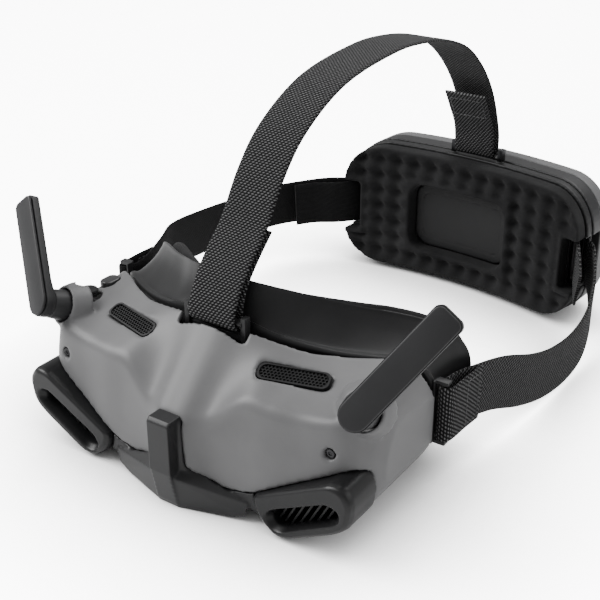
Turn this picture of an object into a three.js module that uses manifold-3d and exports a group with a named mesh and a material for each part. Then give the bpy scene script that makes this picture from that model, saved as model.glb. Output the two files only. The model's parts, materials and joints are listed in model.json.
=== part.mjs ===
// FPV goggles with a head strap and a battery pack at the back of the head.
// Millimetres. +X is the wearer's left, +Y runs from the front face back to the battery, +Z is up.
// The origin is on the resting plane, under the middle of the lower trim.
import * as THREE from 'three';
import { mergeVertices } from 'three/addons/utils/BufferGeometryUtils.js';
import { ConvexGeometry } from 'three/addons/geometries/ConvexGeometry.js';
import { RoundedBoxGeometry } from 'three/addons/geometries/RoundedBoxGeometry.js';
import Module from 'manifold-3d';

const wasm = await Module();
wasm.setup();

// ---------------------------------------------------------------- driving dimensions
const GAP = 0.3;                 // clearance between neighbouring pieces
const WALL = 2.4;                // casing wall
const STRAP_WIDTH = 26;          // side straps
const TOP_STRAP_WIDTH = 24;
const WEBBING = 1.5;             // strap thickness
const BAR_RADIUS = 1.6;          // bars on the goggles that the straps wrap around
const LUG_BAR_RADIUS = 1.2;
const PACK_BAR_RADIUS = 1;       // steel bars on the battery pack
const OPTIC_HALF_SPACING = 32;   // half of a 64 mm pupil distance
const OPTIC_TILT = 24;           // degrees, the eyepieces look up when the goggles rest
const OPTIC_CENTRE = [36, 37];   // y and z of the middle of the eyepiece plate
const BARREL_RADIUS = 19;
const ANTENNA_LENGTH = 52;       // hinge to tip
const ANTENNA_RADIUS = 6.5;      // half of the blade's width
const ANTENNA_AXIS = [0.25, -0.87, 0.42];
const ANTENNA_FACE = [82, -1.1, 66.5];
const ANTENNA_POSE = { left: 36, right: 45 };   // degrees outward from upright
const PACK = {
  width: 155, height: 76, corner: 25, x: 4.5, y: 238, z: 39.5, turn: -4.4, sag: 12, middle: 3,
};

const goggles = new THREE.Group();

// ---------------------------------------------------------------- helpers
const v3 = (x, y, z) => new THREE.Vector3(x, y, z);

function solid(geometry) {
  const bare = geometry.clone();
  bare.deleteAttribute('normal');
  bare.deleteAttribute('uv');
  const merged = mergeVertices(bare, 1e-4);
  const vertProperties = new Float32Array(merged.attributes.position.array);
  const triVerts = new Uint32Array(merged.index.array);
  return new wasm.Manifold(new wasm.Mesh({ numProp: 3, vertProperties, triVerts }));
}

function geometryOf(manifold) {
  const mesh = manifold.getMesh();
  const geometry = new THREE.BufferGeometry();
  geometry.setAttribute('position', new THREE.BufferAttribute(mesh.vertProperties, 3));
  geometry.setIndex(new THREE.BufferAttribute(mesh.triVerts, 1));
  geometry.computeVertexNormals();
  return geometry;
}

// A closed body through rings with the same number of corners. Open rings get convex end caps;
// with loop = true the last ring joins the first.
function loft(rings, loop = false) {
  const count = rings[0].length;
  const position = rings.flat().flatMap((p) => [p.x, p.y, p.z]);
  const index = [];
  const last = loop ? rings.length : rings.length - 1;
  for (let r = 0; r < last; r += 1) {
    const next = (r + 1) % rings.length;
    for (let i = 0; i < count; i += 1) {
      const j = (i + 1) % count;
      const [a, b, c, d] = [r * count + i, r * count + j, next * count + j, next * count + i];
      index.push(a, b, c, a, c, d);
    }
  }
  const top = (rings.length - 1) * count;
  for (let i = 1; i < count - 1 && !loop; i += 1) {
    index.push(0, i + 1, i);
    index.push(top, top + i, top + i + 1);
  }
  const geometry = new THREE.BufferGeometry();
  geometry.setAttribute('position', new THREE.Float32BufferAttribute(position, 3));
  geometry.setIndex(index);
  return geometry;
}

// Turns a lofted body's faces outward if its rings ran the other way.
function outward(geometry) {
  const p = geometry.attributes.position;
  const index = geometry.index.array;
  const [a, b, c] = [v3(), v3(), v3()];
  let volume = 0;
  for (let t = 0; t < index.length; t += 3) {
    a.fromBufferAttribute(p, index[t]);
    b.fromBufferAttribute(p, index[t + 1]);
    c.fromBufferAttribute(p, index[t + 2]);
    volume += a.dot(b.cross(c));
  }
  if (volume < 0) {
    geometry.setIndex(Array.from(index).reverse());
  }
  return geometry;
}

const box = (x, y, z, at) => new THREE.BoxGeometry(x, y, z).translate(...at);

// A cylinder along 'x', 'y' or 'z'.
function rod(radius, length, axis, at, sides = 20) {
  const geometry = new THREE.CylinderGeometry(radius, radius, length, sides);
  if (axis === 'x') geometry.rotateZ(Math.PI / 2);
  if (axis === 'z') geometry.rotateX(Math.PI / 2);
  return geometry.translate(...at);
}

// A rounded rectangle, w by h, centred on (x, y).
function roundedRect(w, h, r, x = 0, y = 0) {
  const shape = new THREE.Shape();
  shape.moveTo(x - w / 2 + r, y - h / 2);
  shape.lineTo(x + w / 2 - r, y - h / 2);
  shape.absarc(x + w / 2 - r, y - h / 2 + r, r, -Math.PI / 2, 0);
  shape.lineTo(x + w / 2, y + h / 2 - r);
  shape.absarc(x + w / 2 - r, y + h / 2 - r, r, 0, Math.PI / 2);
  shape.lineTo(x - w / 2 + r, y + h / 2);
  shape.absarc(x - w / 2 + r, y + h / 2 - r, r, Math.PI / 2, Math.PI);
  shape.lineTo(x - w / 2, y - h / 2 + r);
  shape.absarc(x - w / 2 + r, y - h / 2 + r, r, Math.PI, Math.PI * 1.5);
  return shape;
}

// Extrudes a front-view outline (x, z) from y0 back to y1.
function frontPrism(shape, y0, y1, segments = 5) {
  const options = { depth: y1 - y0, bevelEnabled: false, curveSegments: segments };
  const geometry = new THREE.ExtrudeGeometry(shape, options);
  return geometry.rotateX(Math.PI / 2).translate(0, y1, 0);
}

const polygon = (points) => new THREE.Shape(points.map(([x, y]) => new THREE.Vector2(x, y)));
const mirrorX = (geometry) => outward(geometry.clone().scale(-1, 1, 1));

// A band of webbing: its path is a smooth curve, and its width lies across it along `across`.
function ribbon(points, width, across) {
  const curve = new THREE.CatmullRomCurve3(points.map((p) => v3(...p)), false, 'centripetal');
  const rings = [];
  const steps = 3 * (points.length - 1);
  for (let i = 0; i <= steps; i += 1) {
    const p = curve.getPoint(i / steps);
    const tangent = curve.getTangent(i / steps);
    const flat = v3(...across).cross(tangent).normalize();
    const side = tangent.clone().cross(flat).normalize();
    const corner = (s, f) => p.clone().addScaledVector(side, (s * width) / 2)
      .addScaledVector(flat, (f * WEBBING) / 2);
    rings.push([corner(-1, -1), corner(1, -1), corner(1, 1), corner(-1, 1)]);
  }
  return outward(loft(rings));
}

function add(name, geometry, look, parent = goggles) {
  const material = new THREE.MeshStandardMaterial(look);
  const mesh = new THREE.Mesh(geometry, material);
  mesh.name = name;
  parent.add(mesh);
  return mesh;
}

// ---------------------------------------------------------------- colours
const SHELL = { color: 0x77787a, roughness: 0.5, metalness: 0 };
const TRIM = { color: 0x2e2f31, roughness: 0.5, metalness: 0 };
const BLACK = { color: 0x131314, roughness: 0.55, metalness: 0 };
const MESH = { color: 0x1b1b1c, roughness: 0.45, metalness: 0.2 };
const RUBBER = { color: 0x3a3b3d, roughness: 0.7, metalness: 0 };
const FOAM = { color: 0x1c1c1d, roughness: 0.95, metalness: 0 };
const CLOTH = { color: 0x2a2a2b, roughness: 0.95, metalness: 0 };
const STEEL = { color: 0xa0a2a5, roughness: 0.3, metalness: 1 };
const GLASS = { color: 0x8fa0b0, roughness: 0.05, metalness: 0 };
const BOARD = { color: 0x1f4a38, roughness: 0.6, metalness: 0 };
const PACK_GREY = { color: 0x5a5b5d, roughness: 0.5, metalness: 0 };

// ---------------------------------------------------------------- front casing
// Half sections of the casing, from the middle outwards: x, then (y, z) of the rear bottom edge,
// front bottom, trim height, ridge crease and rear top edge.
const SECTIONS = [
  [0, [50, 3], [-10, 3], [-12, 13], [-11.5, 41], [20, 73]],
  [6, [50, 3], [-10, 3], [-11.5, 13], [-11, 41], [20.3, 72.8]],
  [15.6, [50, 3], [-6, 3], [-7.5, 14], [-6.5, 41.6], [21.8, 71.8]],
  [30, [50, 3], [-4, 3], [-5.8, 15], [-2.2, 53.8], [25.4, 69]],
  [43, [50, 3], [-3, 3], [-5, 20], [-0.9, 54.3], [30, 66.4]],
  [56, [50, 4], [-1, 4], [-2.5, 25], [1.5, 54], [37, 65.5]],
  [71, [50, 9], [2, 9], [0, 31], [4.1, 56.5], [46.7, 64.8]],
  [78, [51, 13], [6, 13], [4, 36], [9, 58.5], [51, 62.5]],
  [83, [54, 19], [11, 19], [10.5, 37], [17, 57], [53.5, 55.5]],
  [86, [57, 25], [18, 25], [18, 37], [25, 51], [57, 47]],
];

// Moves each edge of a convex section inward by its own distance.
function inset(points, distances) {
  const lines = points.map((p, i) => {
    const q = points[(i + 1) % points.length];
    const along = new THREE.Vector2(q[0] - p[0], q[1] - p[1]).normalize();
    const inward = new THREE.Vector2(along.y, -along.x);
    return { at: new THREE.Vector2(...p).addScaledVector(inward, distances[i]), along };
  });
  return lines.map((line, i) => {
    const before = lines[(i + lines.length - 1) % lines.length];
    const between = line.at.clone().sub(before.at);
    const turn = before.along.cross(line.along);
    const t = between.cross(line.along) / turn;
    return [before.at.x + before.along.x * t, before.at.y + before.along.y * t];
  });
}

function casing(reduce, scaleX) {
  const half = SECTIONS.map(([x, ...points]) => [x * scaleX, reduce(points)]);
  const rings = [...half.slice(1).reverse().map(([x, points]) => [-x, points]), ...half];
  return outward(loft(rings.map(([x, points]) => points.map(([y, z]) => v3(x, y, z)))));
}

const casingOuter = solid(casing((points) => points, 1));
const hollow = (points) => inset(points, [WALL, WALL, WALL, WALL, -40]);
const casingInner = solid(casing(hollow, (86 - WALL) / 86));
const casingBody = casingOuter.subtract(casingInner);

// The trim line in front view: bar, valley, scoop corner and the scoop's top edge.
const TRIM_LINE = [[6.2, 42], [7, 20], [12, 16], [24.6, 12.5], [36, 14.5], [42, 17],
  [48, 6]];
const trimOutline = polygon([
  ...TRIM_LINE.map(([x, z]) => [-x, z]).reverse(), ...TRIM_LINE, [48, -5], [-48, -5],
]);
const trimPrism = (shift) => solid(frontPrism(trimOutline, -30, 16).translate(0, 0, shift));

// Air scoops at the lower corners: outer outline and the slot in it, wearer's left side.
const SCOOP = [[38, 15.5], [43, 18.5], [76, 36.5], [82, 36], [86, 30], [84.5, 19], [79, 14], [55, 1],
  [49, 0.5], [41, 7]];
const SCOOP_SLOT = [[47, 9.5], [50, 13.5], [73, 25.5], [78, 24.5], [78.5, 20.5], [75, 17.5], [54, 5.5],
  [49, 5.5]];
const scoopFront = -7.5;
const scoopBack = 12;
const grow = (points, by) => {
  const cx = points.reduce((sum, p) => sum + p[0], 0) / points.length;
  const cz = points.reduce((sum, p) => sum + p[1], 0) / points.length;
  return points.map(([x, z]) => {
    const out = new THREE.Vector2(x - cx, z - cz);
    return [x + (out.x / out.length()) * by, z + (out.y / out.length()) * by];
  });
};

const scoopHole = solid(frontPrism(polygon(grow(SCOOP, GAP + 0.2)), -30, scoopBack + GAP));
const bothSides = (manifold) => manifold.add(solid(mirrorX(geometryOf(manifold))));

// Antenna hinge frames: local -Y points out of the hinge face, +Z up the blade before its pose turn.
function antennaFrame(side) {
  const sign = side === 'left' ? 1 : -1;
  const out = v3(ANTENNA_AXIS[0] * sign, ANTENNA_AXIS[1], ANTENNA_AXIS[2]).normalize();
  const up = v3(0, 0, 1).addScaledVector(out, -out.z).normalize();
  const back = out.clone().negate();
  const across = back.clone().cross(up);
  const matrix = new THREE.Matrix4().makeBasis(across, back, up);
  matrix.setPosition(ANTENNA_FACE[0] * sign, ANTENNA_FACE[1], ANTENNA_FACE[2]);
  return matrix;
}

const HUB_START = 6.2;           // behind the hinge face
const HUB_END = 16.5;
const collar = new THREE.CylinderGeometry(12.4, 8.7, 9, 24).translate(0, 17.5, 0);
const collarHole = rod(7.6, 12, 'y', [0, 15.5, 0], 24);
const onAntenna = (geometry, side) => solid(geometry.clone().applyMatrix4(antennaFrame(side)));

// Top vents: rounded slots that follow the top surface.
const VENT = { width: 31, height: 8.6, corner: 2.9, x: 42.9, y: 16.9, z: 62.2 };
function ventFrame(sign) {
  const along = v3(30, 8.3, 0.1).normalize();
  const back = v3(-1.8, 7, 3.3).addScaledVector(along, -v3(-1.8, 7, 3.3).dot(along)).normalize();
  const up = along.clone().cross(back);
  const matrix = new THREE.Matrix4().makeBasis(along, back, up);
  matrix.setPosition(VENT.x, VENT.y, VENT.z);
  return new THREE.Matrix4().makeScale(sign, 1, 1).multiply(matrix);
}
const slotGeometry = (w, h, depth, lift) => new THREE.ExtrudeGeometry(
  roundedRect(w, h, VENT.corner),
  { depth, bevelEnabled: false, curveSegments: 5 },
).translate(0, 0, lift);
const onVent = (geometry, sign) => solid(outward(
  mergeVertices(stripped(geometry)).applyMatrix4(ventFrame(sign)),
));
function stripped(geometry) {
  const bare = geometry.clone();
  bare.deleteAttribute('normal');
  bare.deleteAttribute('uv');
  return bare;
}

// Controls by the wearer's right eye: a five-way joystick and an oval back button.
const STICK = [-76.5, 25.5, 61];
const BACK_BUTTON = [-76, 39, 62.3];
const SCREW_HOLES = [[-69.8, 43], [69.8, 43]];
const KNOB = { radius: 7, y: 27, z0: 0.9, z1: 6.4 };

let shell = casingBody.subtract(trimPrism(GAP)).subtract(bothSides(scoopHole));
shell = shell.add(onAntenna(collar, 'left').subtract(casingInner))
  .add(onAntenna(collar, 'right').subtract(casingInner))
  .subtract(onAntenna(collarHole, 'left'))
  .subtract(onAntenna(collarHole, 'right'));
for (const sign of [1, -1]) {
  shell = shell.subtract(onVent(slotGeometry(VENT.width, VENT.height, 20, -10), sign));
}
shell = shell.subtract(solid(rod(6, 12, 'z', STICK)))
  .subtract(solid(new THREE.ExtrudeGeometry(roundedRect(7.6, 11, 3.7), {
    depth: 12, bevelEnabled: false, curveSegments: 5,
  }).translate(BACK_BUTTON[0], BACK_BUTTON[1], BACK_BUTTON[2] - 6)));
for (const [x, z] of SCREW_HOLES) {
  shell = shell.subtract(solid(rod(2.4, 30, 'y', [x, 0, z], 14)));
}
// Slots in the floor for the two eyepiece knobs.
const knobSlot = (x) => solid(box(2 * KNOB.radius + 10, 2 * KNOB.radius + 1.6, 12, [x, KNOB.y, 2]));
for (const x of [-OPTIC_HALF_SPACING, OPTIC_HALF_SPACING]) {
  shell = shell.subtract(knobSlot(x));
}
// The keel of the lower trim stands under the casing, so the casing keeps clear of it.
const BAR = [[-17.6, 41.5], [-16, 43], [-9, 43], [-9, 0], [-13, 0], [-14, 2], [-17.6, 18]];
const barSolid = solid(outward(loft([-5.5, 5.5].map((x) => BAR.map(([y, z]) => v3(x, y, z))))));
const foot = solid(new THREE.ExtrudeGeometry(
  polygon([[-24, -6.4], [-5.5, -12.4], [5.5, -12.4], [24, -6.4], [24, 6], [-24, 6]]),
  { depth: 3.6, bevelEnabled: false },
));
const keel = solid(new ConvexGeometry([
  v3(-5.5, -15.5, 16), v3(5.5, -15.5, 16), v3(-5.5, -13.2, 0), v3(5.5, -13.2, 0),
  v3(-22, -7.5, 12), v3(22, -7.5, 12), v3(-24, -7, 0), v3(24, -7, 0),
  v3(-36, -5.4, 10), v3(36, -5.4, 10), v3(-36, -5, 1.6), v3(36, -5, 1.6),
  v3(-5.5, -8, 20), v3(5.5, -8, 20),
]));
const keelParts = barSolid.add(keel).add(foot);
const shifts = [[GAP, 0, 0], [-GAP, 0, 0], [0, GAP, 0], [0, -GAP, 0], [0, 0, GAP]];
for (const shift of shifts) {
  shell = shell.subtract(keelParts.translate(shift));
}
// A notch in the rear edge leaves room for the top strap and its loop.
shell = shell.subtract(solid(box(35, 20, 16, [0, 28.4, 71])));
add('front_shell', geometryOf(shell), SHELL);

// ---------------------------------------------------------------- lower trim with its centre bar
const trim = casingBody.intersect(trimPrism(0)).subtract(bothSides(scoopHole))
  .add(keelParts)
  .subtract(casingInner);
add('lower_trim', geometryOf(trim), TRIM);

// ---------------------------------------------------------------- air scoops and their fins
function scoopBody() {
  const front = grow(SCOOP, -1.8);
  const ring = (points, y) => points.map(([x, z]) => v3(x, y, z));
  const outer = solid(outward(loft([
    ring(front, scoopFront), ring(SCOOP, scoopFront + 2.6), ring(SCOOP, scoopBack),
  ])));
  const slot = solid(frontPrism(polygon(SCOOP_SLOT), -20, 30));
  const mouth = solid(outward(loft([
    ring(grow(SCOOP_SLOT, 2.2), scoopFront - 0.5), ring(SCOOP_SLOT, scoopFront + 3),
  ])));
  return outer.subtract(slot).subtract(mouth);
}
// Seven slanted fins in the slot, joined by a rail behind them.
function finGrille() {
  const slot = solid(frontPrism(polygon(grow(SCOOP_SLOT, -GAP - 0.1)), -1.5, 8));
  let fins = solid(box(60, 1.4, 3, [63, 7.2, 15.5]).applyMatrix4(slantAbout(63, 15.5, 27)));
  for (let i = 0; i < 7; i += 1) {
    const x = 50.5 + i * 4.1;
    const fin = box(0.9, 8, 22, [0, 2.5, 0]).rotateY(THREE.MathUtils.degToRad(28));
    fins = fins.add(solid(fin.translate(x, 0, 9.3 + i * 2.1)));
  }
  return fins.intersect(slot);
}
function slantAbout(x, z, degrees) {
  const there = new THREE.Matrix4().makeTranslation(x, 0, z);
  const turn = new THREE.Matrix4().makeRotationY(-THREE.MathUtils.degToRad(degrees));
  return there.multiply(turn).multiply(new THREE.Matrix4().makeTranslation(-x, 0, -z));
}
const scoopLeft = geometryOf(scoopBody());
const finsLeft = geometryOf(finGrille());
add('scoop_left', scoopLeft, BLACK);
add('scoop_right', mirrorX(scoopLeft), BLACK);
add('scoop_fins_left', finsLeft, BLACK);
add('scoop_fins_right', mirrorX(finsLeft), BLACK);

// ---------------------------------------------------------------- vent meshes
for (const [name, sign] of [['vent_mesh_left', 1], ['vent_mesh_right', -1]]) {
  const plate = onVent(slotGeometry(VENT.width - 2 * GAP, VENT.height - 2 * GAP, 1.2, -1.7), sign);
  add(name, geometryOf(plate), MESH);
}

// ---------------------------------------------------------------- casing screws
for (const [name, x] of [['shell_screw_left', 69.8], ['shell_screw_right', -69.8]]) {
  const head = solid(rod(2, 1.6, 'y', [x, 3.4, 43], 14));
  const shank = solid(rod(1.1, 9, 'y', [x, 8, 43], 10));
  add(name, geometryOf(head.add(shank).subtract(solid(rod(0.9, 1, 'y', [x, 2.6, 43], 6)))), STEEL);
}

// ---------------------------------------------------------------- light shield and face pad
// Half rings, middle top to middle bottom: where the shield leaves the casing, its waist, and its rim.
const SHIELD_FRONT = [[0, 27, 71], [14, 27, 70.3], [24, 27.5, 68.5], [34, 30, 66.5], [48, 35.6, 64.2],
  [62, 43, 63], [73, 51, 61.5], [79, 56.5, 56], [82.5, 60, 47], [83, 61.5, 36], [81.5, 60, 24],
  [76, 55, 14], [60, 52.5, 8], [40, 52, 6], [20, 52, 6], [0, 52, 6]];
const SHIELD_RIM = [[0, 32.5, 88], [16, 35, 87], [27, 40.5, 84.5], [38, 48, 81], [51, 56.5, 77.5],
  [62, 65, 74.5], [73, 74, 70], [80.5, 82, 63], [84.5, 88, 53], [85.5, 90, 42], [84.5, 90, 30],
  [79, 88, 18], [66, 84, 9], [44, 78, 7], [24, 66, 16], [0, 56, 24]];
const mirrorRing = (half) => [
  ...half.map(([x, y, z]) => v3(x, y, z)),
  ...half.slice(1, -1).reverse().map(([x, y, z]) => v3(-x, y, z)),
];
const RING_CENTRE = v3(0, 50, 42);
function between(a, b, t, pull) {
  return a.map((p, i) => {
    const point = p.clone().lerp(b[i], t);
    const inward = RING_CENTRE.clone().sub(point).setY(0).normalize();
    return point.addScaledVector(inward, pull);
  });
}
const shieldFront = mirrorRing(SHIELD_FRONT);
const shieldRim = mirrorRing(SHIELD_RIM);
// A wall through the rings given as [fraction of the way to the rim, pull towards the middle].
function shieldWall(stations, thickness) {
  const outer = stations.map(([t, pull]) => between(shieldFront, shieldRim, t, pull));
  const inner = stations.map(([t, pull]) => between(shieldFront, shieldRim, t, pull + thickness));
  return outward(loft([...outer, ...inner.reverse()], true));
}
add('light_shield', shieldWall([[0, 0], [0.3, 1.8], [0.65, 2], [0.9, 0.9], [1, 0]], 1.8), RUBBER);
add('face_pad', shieldWall([[0.74, 7], [1.03, 5.4], [1.18, 5], [1.24, 7.4], [1.16, 10]], 5), FOAM);

// ---------------------------------------------------------------- eyepieces
const optics = new THREE.Group();
optics.position.set(0, ...OPTIC_CENTRE);
optics.rotation.x = THREE.MathUtils.degToRad(OPTIC_TILT);
goggles.add(optics);

let plate = solid(frontPrism(roundedRect(130, 50, 22, 0, -1), -2, -0.2));
for (const x of [-OPTIC_HALF_SPACING, OPTIC_HALF_SPACING]) {
  const hole = roundedRect(2 * BARREL_RADIUS + 9.2, 2 * BARREL_RADIUS + 1.2, BARREL_RADIUS + 0.5, x, 0);
  plate = plate.subtract(solid(frontPrism(hole, -10, 10, 10)));
}
plate = plate.subtract(solid(rod(2.6, 10, 'y', [0, 0, 16], 14)));
add('eyepiece_plate', geometryOf(plate), BLACK, optics);
add('proximity_window', rod(2.3, 1.6, 'y', [0, -1.2, 16], 14), GLASS, optics);

for (const [side, x] of [['left', OPTIC_HALF_SPACING], ['right', -OPTIC_HALF_SPACING]]) {
  const bore = rod(BARREL_RADIUS - 2.2, 30, 'y', [x, -10, 0], 28);
  const barrel = solid(rod(BARREL_RADIUS, 19, 'y', [x, -11.5, 0], 28)).subtract(solid(bore));
  add(`lens_barrel_${side}`, geometryOf(barrel), BLACK, optics);
  const r = BARREL_RADIUS - 2.2 - GAP;
  const lens = new THREE.LatheGeometry([
    [0, -3.2], [r * 0.6, -2.6], [r, -1], [r, 1], [r * 0.6, 2.4], [0, 3],
  ].map((p) => new THREE.Vector2(...p)), 28);
  add(`eye_lens_${side}`, lens.translate(x, -6.5, 0), GLASS, optics);
  const display = solid(new RoundedBoxGeometry(20, 2, 20, 1, 0.6).translate(x, -23.2, 0));
  add(`micro_display_${side}`, geometryOf(display), BOARD, optics);
}

// Knobs under the casing: each slides with its eyepiece and turns to focus it.
for (const [side, x] of [['left', OPTIC_HALF_SPACING], ['right', -OPTIC_HALF_SPACING]]) {
  const knob = rod(KNOB.radius, KNOB.z1 - KNOB.z0, 'z', [x, KNOB.y, (KNOB.z0 + KNOB.z1) / 2], 24);
  const grip = box(2.4, 11, 2, [x, KNOB.y, KNOB.z0 + 0.2]);
  add(`focus_knob_${side}`, geometryOf(solid(knob).subtract(solid(grip))), BLACK);
}

// ---------------------------------------------------------------- electronics and fan
add('main_board', box(72, 1.6, 20, [0, 2.8, 26]), BOARD);
let sink = solid(box(30, 1.5, 18, [0, 0.9, 26]));
for (let i = 0; i < 6; i += 1) {
  sink = sink.add(solid(box(1, 3.4, 18, [-12.5 + i * 5, -1.3, 26])));
}
add('heat_sink', geometryOf(sink), STEEL);

const fan = new THREE.Group();
fan.position.set(0, 11.5, 49.5);
fan.rotation.x = THREE.MathUtils.degToRad(45);
goggles.add(fan);
const fanHousing = solid(box(26, 26, 7, [0, 0, 0]))
  .subtract(solid(rod(12.4, 20, 'z', [0, 0, 5.2], 28)))
  .subtract(solid(box(12, 20, 4.6, [0, 10, 0])));
add('fan_housing', geometryOf(fanHousing), BLACK, fan);
let rotor = solid(rod(5, 5.4, 'z', [0, 0, 0.4], 18));
for (let i = 0; i < 9; i += 1) {
  const blade = box(6.6, 0.8, 4.8, [7.9, 0, 0.4]).rotateZ((i * 2 * Math.PI) / 9);
  rotor = rotor.add(solid(blade));
}
add('fan_rotor', geometryOf(rotor), TRIM, fan);

// ---------------------------------------------------------------- controls
const stickAt = (dz) => [STICK[0], STICK[1], STICK[2] + dz];
const stickBase = solid(box(8.4, 9, 3, stickAt(-8.4))).subtract(solid(rod(2.6, 6, 'z', stickAt(-7), 14)));
add('joystick_base', geometryOf(stickBase), BLACK);
const ringGeometry = solid(rod(4.2, 1.6, 'z', stickAt(-4.6), 18))
  .subtract(solid(rod(2.3, 4, 'z', stickAt(-4.6), 14)));
add('joystick_ring', geometryOf(ringGeometry), TRIM);
add('joystick_stem', rod(1.5, 5.4, 'z', stickAt(-3.7), 12), TRIM);
const capProfile = [[0, 0.2], [1.9, 0.2], [4, 0.9], [4.4, 1.7], [4.1, 2.6], [2.6, 2.2], [0, 2]];
const stickCap = new THREE.LatheGeometry(capProfile.map((p) => new THREE.Vector2(...p)), 22);
add('joystick_cap', stickCap.rotateX(Math.PI / 2).translate(...STICK), BLACK);
const backButton = new THREE.ExtrudeGeometry(roundedRect(6.8, 10.2, 3.3), {
  depth: 3, bevelEnabled: true, bevelThickness: 0.5, bevelSize: 0.5, bevelOffset: -0.5,
  bevelSegments: 1, curveSegments: 5,
});
add('back_button', backButton.translate(BACK_BUTTON[0], BACK_BUTTON[1], BACK_BUTTON[2] - 2.3), TRIM);

// ---------------------------------------------------------------- antennas
for (const side of ['left', 'right']) {
  const frame = antennaFrame(side);
  const sign = side === 'left' ? 1 : -1;
  const hub = new THREE.CylinderGeometry(7.3, 6.4, HUB_END - HUB_START, 24)
    .translate(0, (HUB_START + HUB_END) / 2, 0);
  add(`antenna_hub_${side}`, hub.applyMatrix4(frame), TRIM);

  // The blade is drawn upright and then turned outward about the hinge.
  const turn = new THREE.Matrix4().makeRotationY(THREE.MathUtils.degToRad(sign * ANTENNA_POSE[side]));
  const posed = frame.clone().multiply(turn);
  const outline = (inset) => {
    const r = ANTENNA_RADIUS - inset;
    const tip = ANTENNA_LENGTH - inset;
    const shape = new THREE.Shape();
    shape.moveTo(-r, 0);
    shape.absarc(0, 0, r, Math.PI, 0);
    shape.lineTo(r, tip - 3);
    shape.absarc(r - 3, tip - 3, 3, 0, Math.PI / 2);
    shape.absarc(-r + 3, tip - 3, 3, Math.PI / 2, Math.PI);
    return shape;
  };
  add(`antenna_cover_${side}`, frontPrism(outline(0.4), 0, 1.3, 6).applyMatrix4(posed), TRIM);
  const boss = new ConvexGeometry([
    ...[0, 1, 2, 3, 4, 5, 6, 7].map((i) => {
      const angle = Math.PI + (i * Math.PI) / 7;
      return v3(6.4 * Math.cos(angle), 6, 6.4 * Math.sin(angle));
    }),
    v3(-6.4, 4, 0), v3(6.4, 4, 0), v3(-6.4, 4, 6), v3(6.4, 4, 6), v3(-4.6, 6, 12), v3(4.6, 6, 12),
    v3(-5.6, 4, 24), v3(5.6, 4, 24), v3(0, 4, -6.4),
  ]);
  const pocket = box(9.4, 1.4, 38, [0, 1.9, 26]);
  const blade = solid(frontPrism(outline(0), 1.6, 5, 6)).add(solid(boss)).subtract(solid(pocket));
  add(`antenna_blade_${side}`, geometryOf(blade).applyMatrix4(posed), TRIM);
  add(`antenna_element_${side}`, box(8.6, 0.5, 37, [0, 2.15, 26]).applyMatrix4(posed), BOARD);
}

// ---------------------------------------------------------------- strap fittings on the goggles
const TOP_BAR = [22.3, 73.6];    // y and z
const topLoop = solid(rod(BAR_RADIUS, 28.5, 'x', [0, ...TOP_BAR], 12))
  .add(solid(box(2.4, 3.6, 11, [14.8, 23.1, 71])))
  .add(solid(box(2.4, 3.6, 11, [-14.8, 23.1, 71])))
  .add(solid(box(32, 2.4, 2.4, [0, 23.7, 66.6])));
add('top_loop', geometryOf(topLoop), TRIM);

const LUG_BAR = [88, 62.5];      // x and y
const LUG_HEIGHT = 37;
const RIGHT_LIFT = 9;            // the right strap sits higher, where its band was pulled up
const lug = solid(rod(LUG_BAR_RADIUS, 29, 'z', [...LUG_BAR, LUG_HEIGHT], 12))
  .add(solid(box(5.6, 3.6, 1.6, [86.8, 62, LUG_HEIGHT + 14.4])))
  .add(solid(box(5.6, 3.6, 1.6, [86.8, 62, LUG_HEIGHT - 14.4])))
  .add(solid(box(0.8, 3.6, 30.4, [83.8, 60.6, LUG_HEIGHT])));
const lugGeometry = geometryOf(lug);
add('strap_lug_left', lugGeometry, TRIM);
add('strap_lug_right', mirrorX(lugGeometry).translate(0, 0, RIGHT_LIFT), TRIM);

// ---------------------------------------------------------------- straps
const WRAP = BAR_RADIUS + WEBBING / 2 + 0.5;
// Five points half way round a bar at (a, b), from the angle `start` in the turning sense `sense`.
function wrap(a, b, start, sense, place) {
  return [0, 1, 2, 3, 4].map((i) => {
    const angle = THREE.MathUtils.degToRad(start + sense * i * 45);
    return place(a + WRAP * Math.cos(angle), b + WRAP * Math.sin(angle));
  });
}
const PACK_BAR = { y: 253.7, z: 82 };
const TOP_PATH = [
  [0, 46.5, 105.5], [0, 37, 96.5], [0, 28.6, 86.5], [0, TOP_BAR[0] + WRAP + 0.3, 78],
  ...wrap(...TOP_BAR, 0, -1, (y, z) => [0, y, z]),
  [0, 20.4, 78.5], [0, 25.6, 88.5], [0, 33.5, 98], [0.3, 42, 107],
  [0.8, 54, 126], [1.2, 67.5, 140.3], [1.5, 97, 155], [2, 140, 161], [2.5, 161, 160.8],
  [3, 190, 156.5], [3.6, 212, 148.5], [4.1, 229, 136], [4.4, 243, 120], [4.5, 252, 103],
  [4.5, PACK_BAR.y + WRAP, 90], ...wrap(PACK_BAR.y, PACK_BAR.z, 0, -1, (y, z) => [4.5, y, z]),
  [4.5, 248, 96], [4.5, 240, 109], [4.5, 234, 118],
];
add('top_strap', ribbon(TOP_PATH, TOP_STRAP_WIDTH, [1, 0, 0]), CLOTH);

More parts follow.
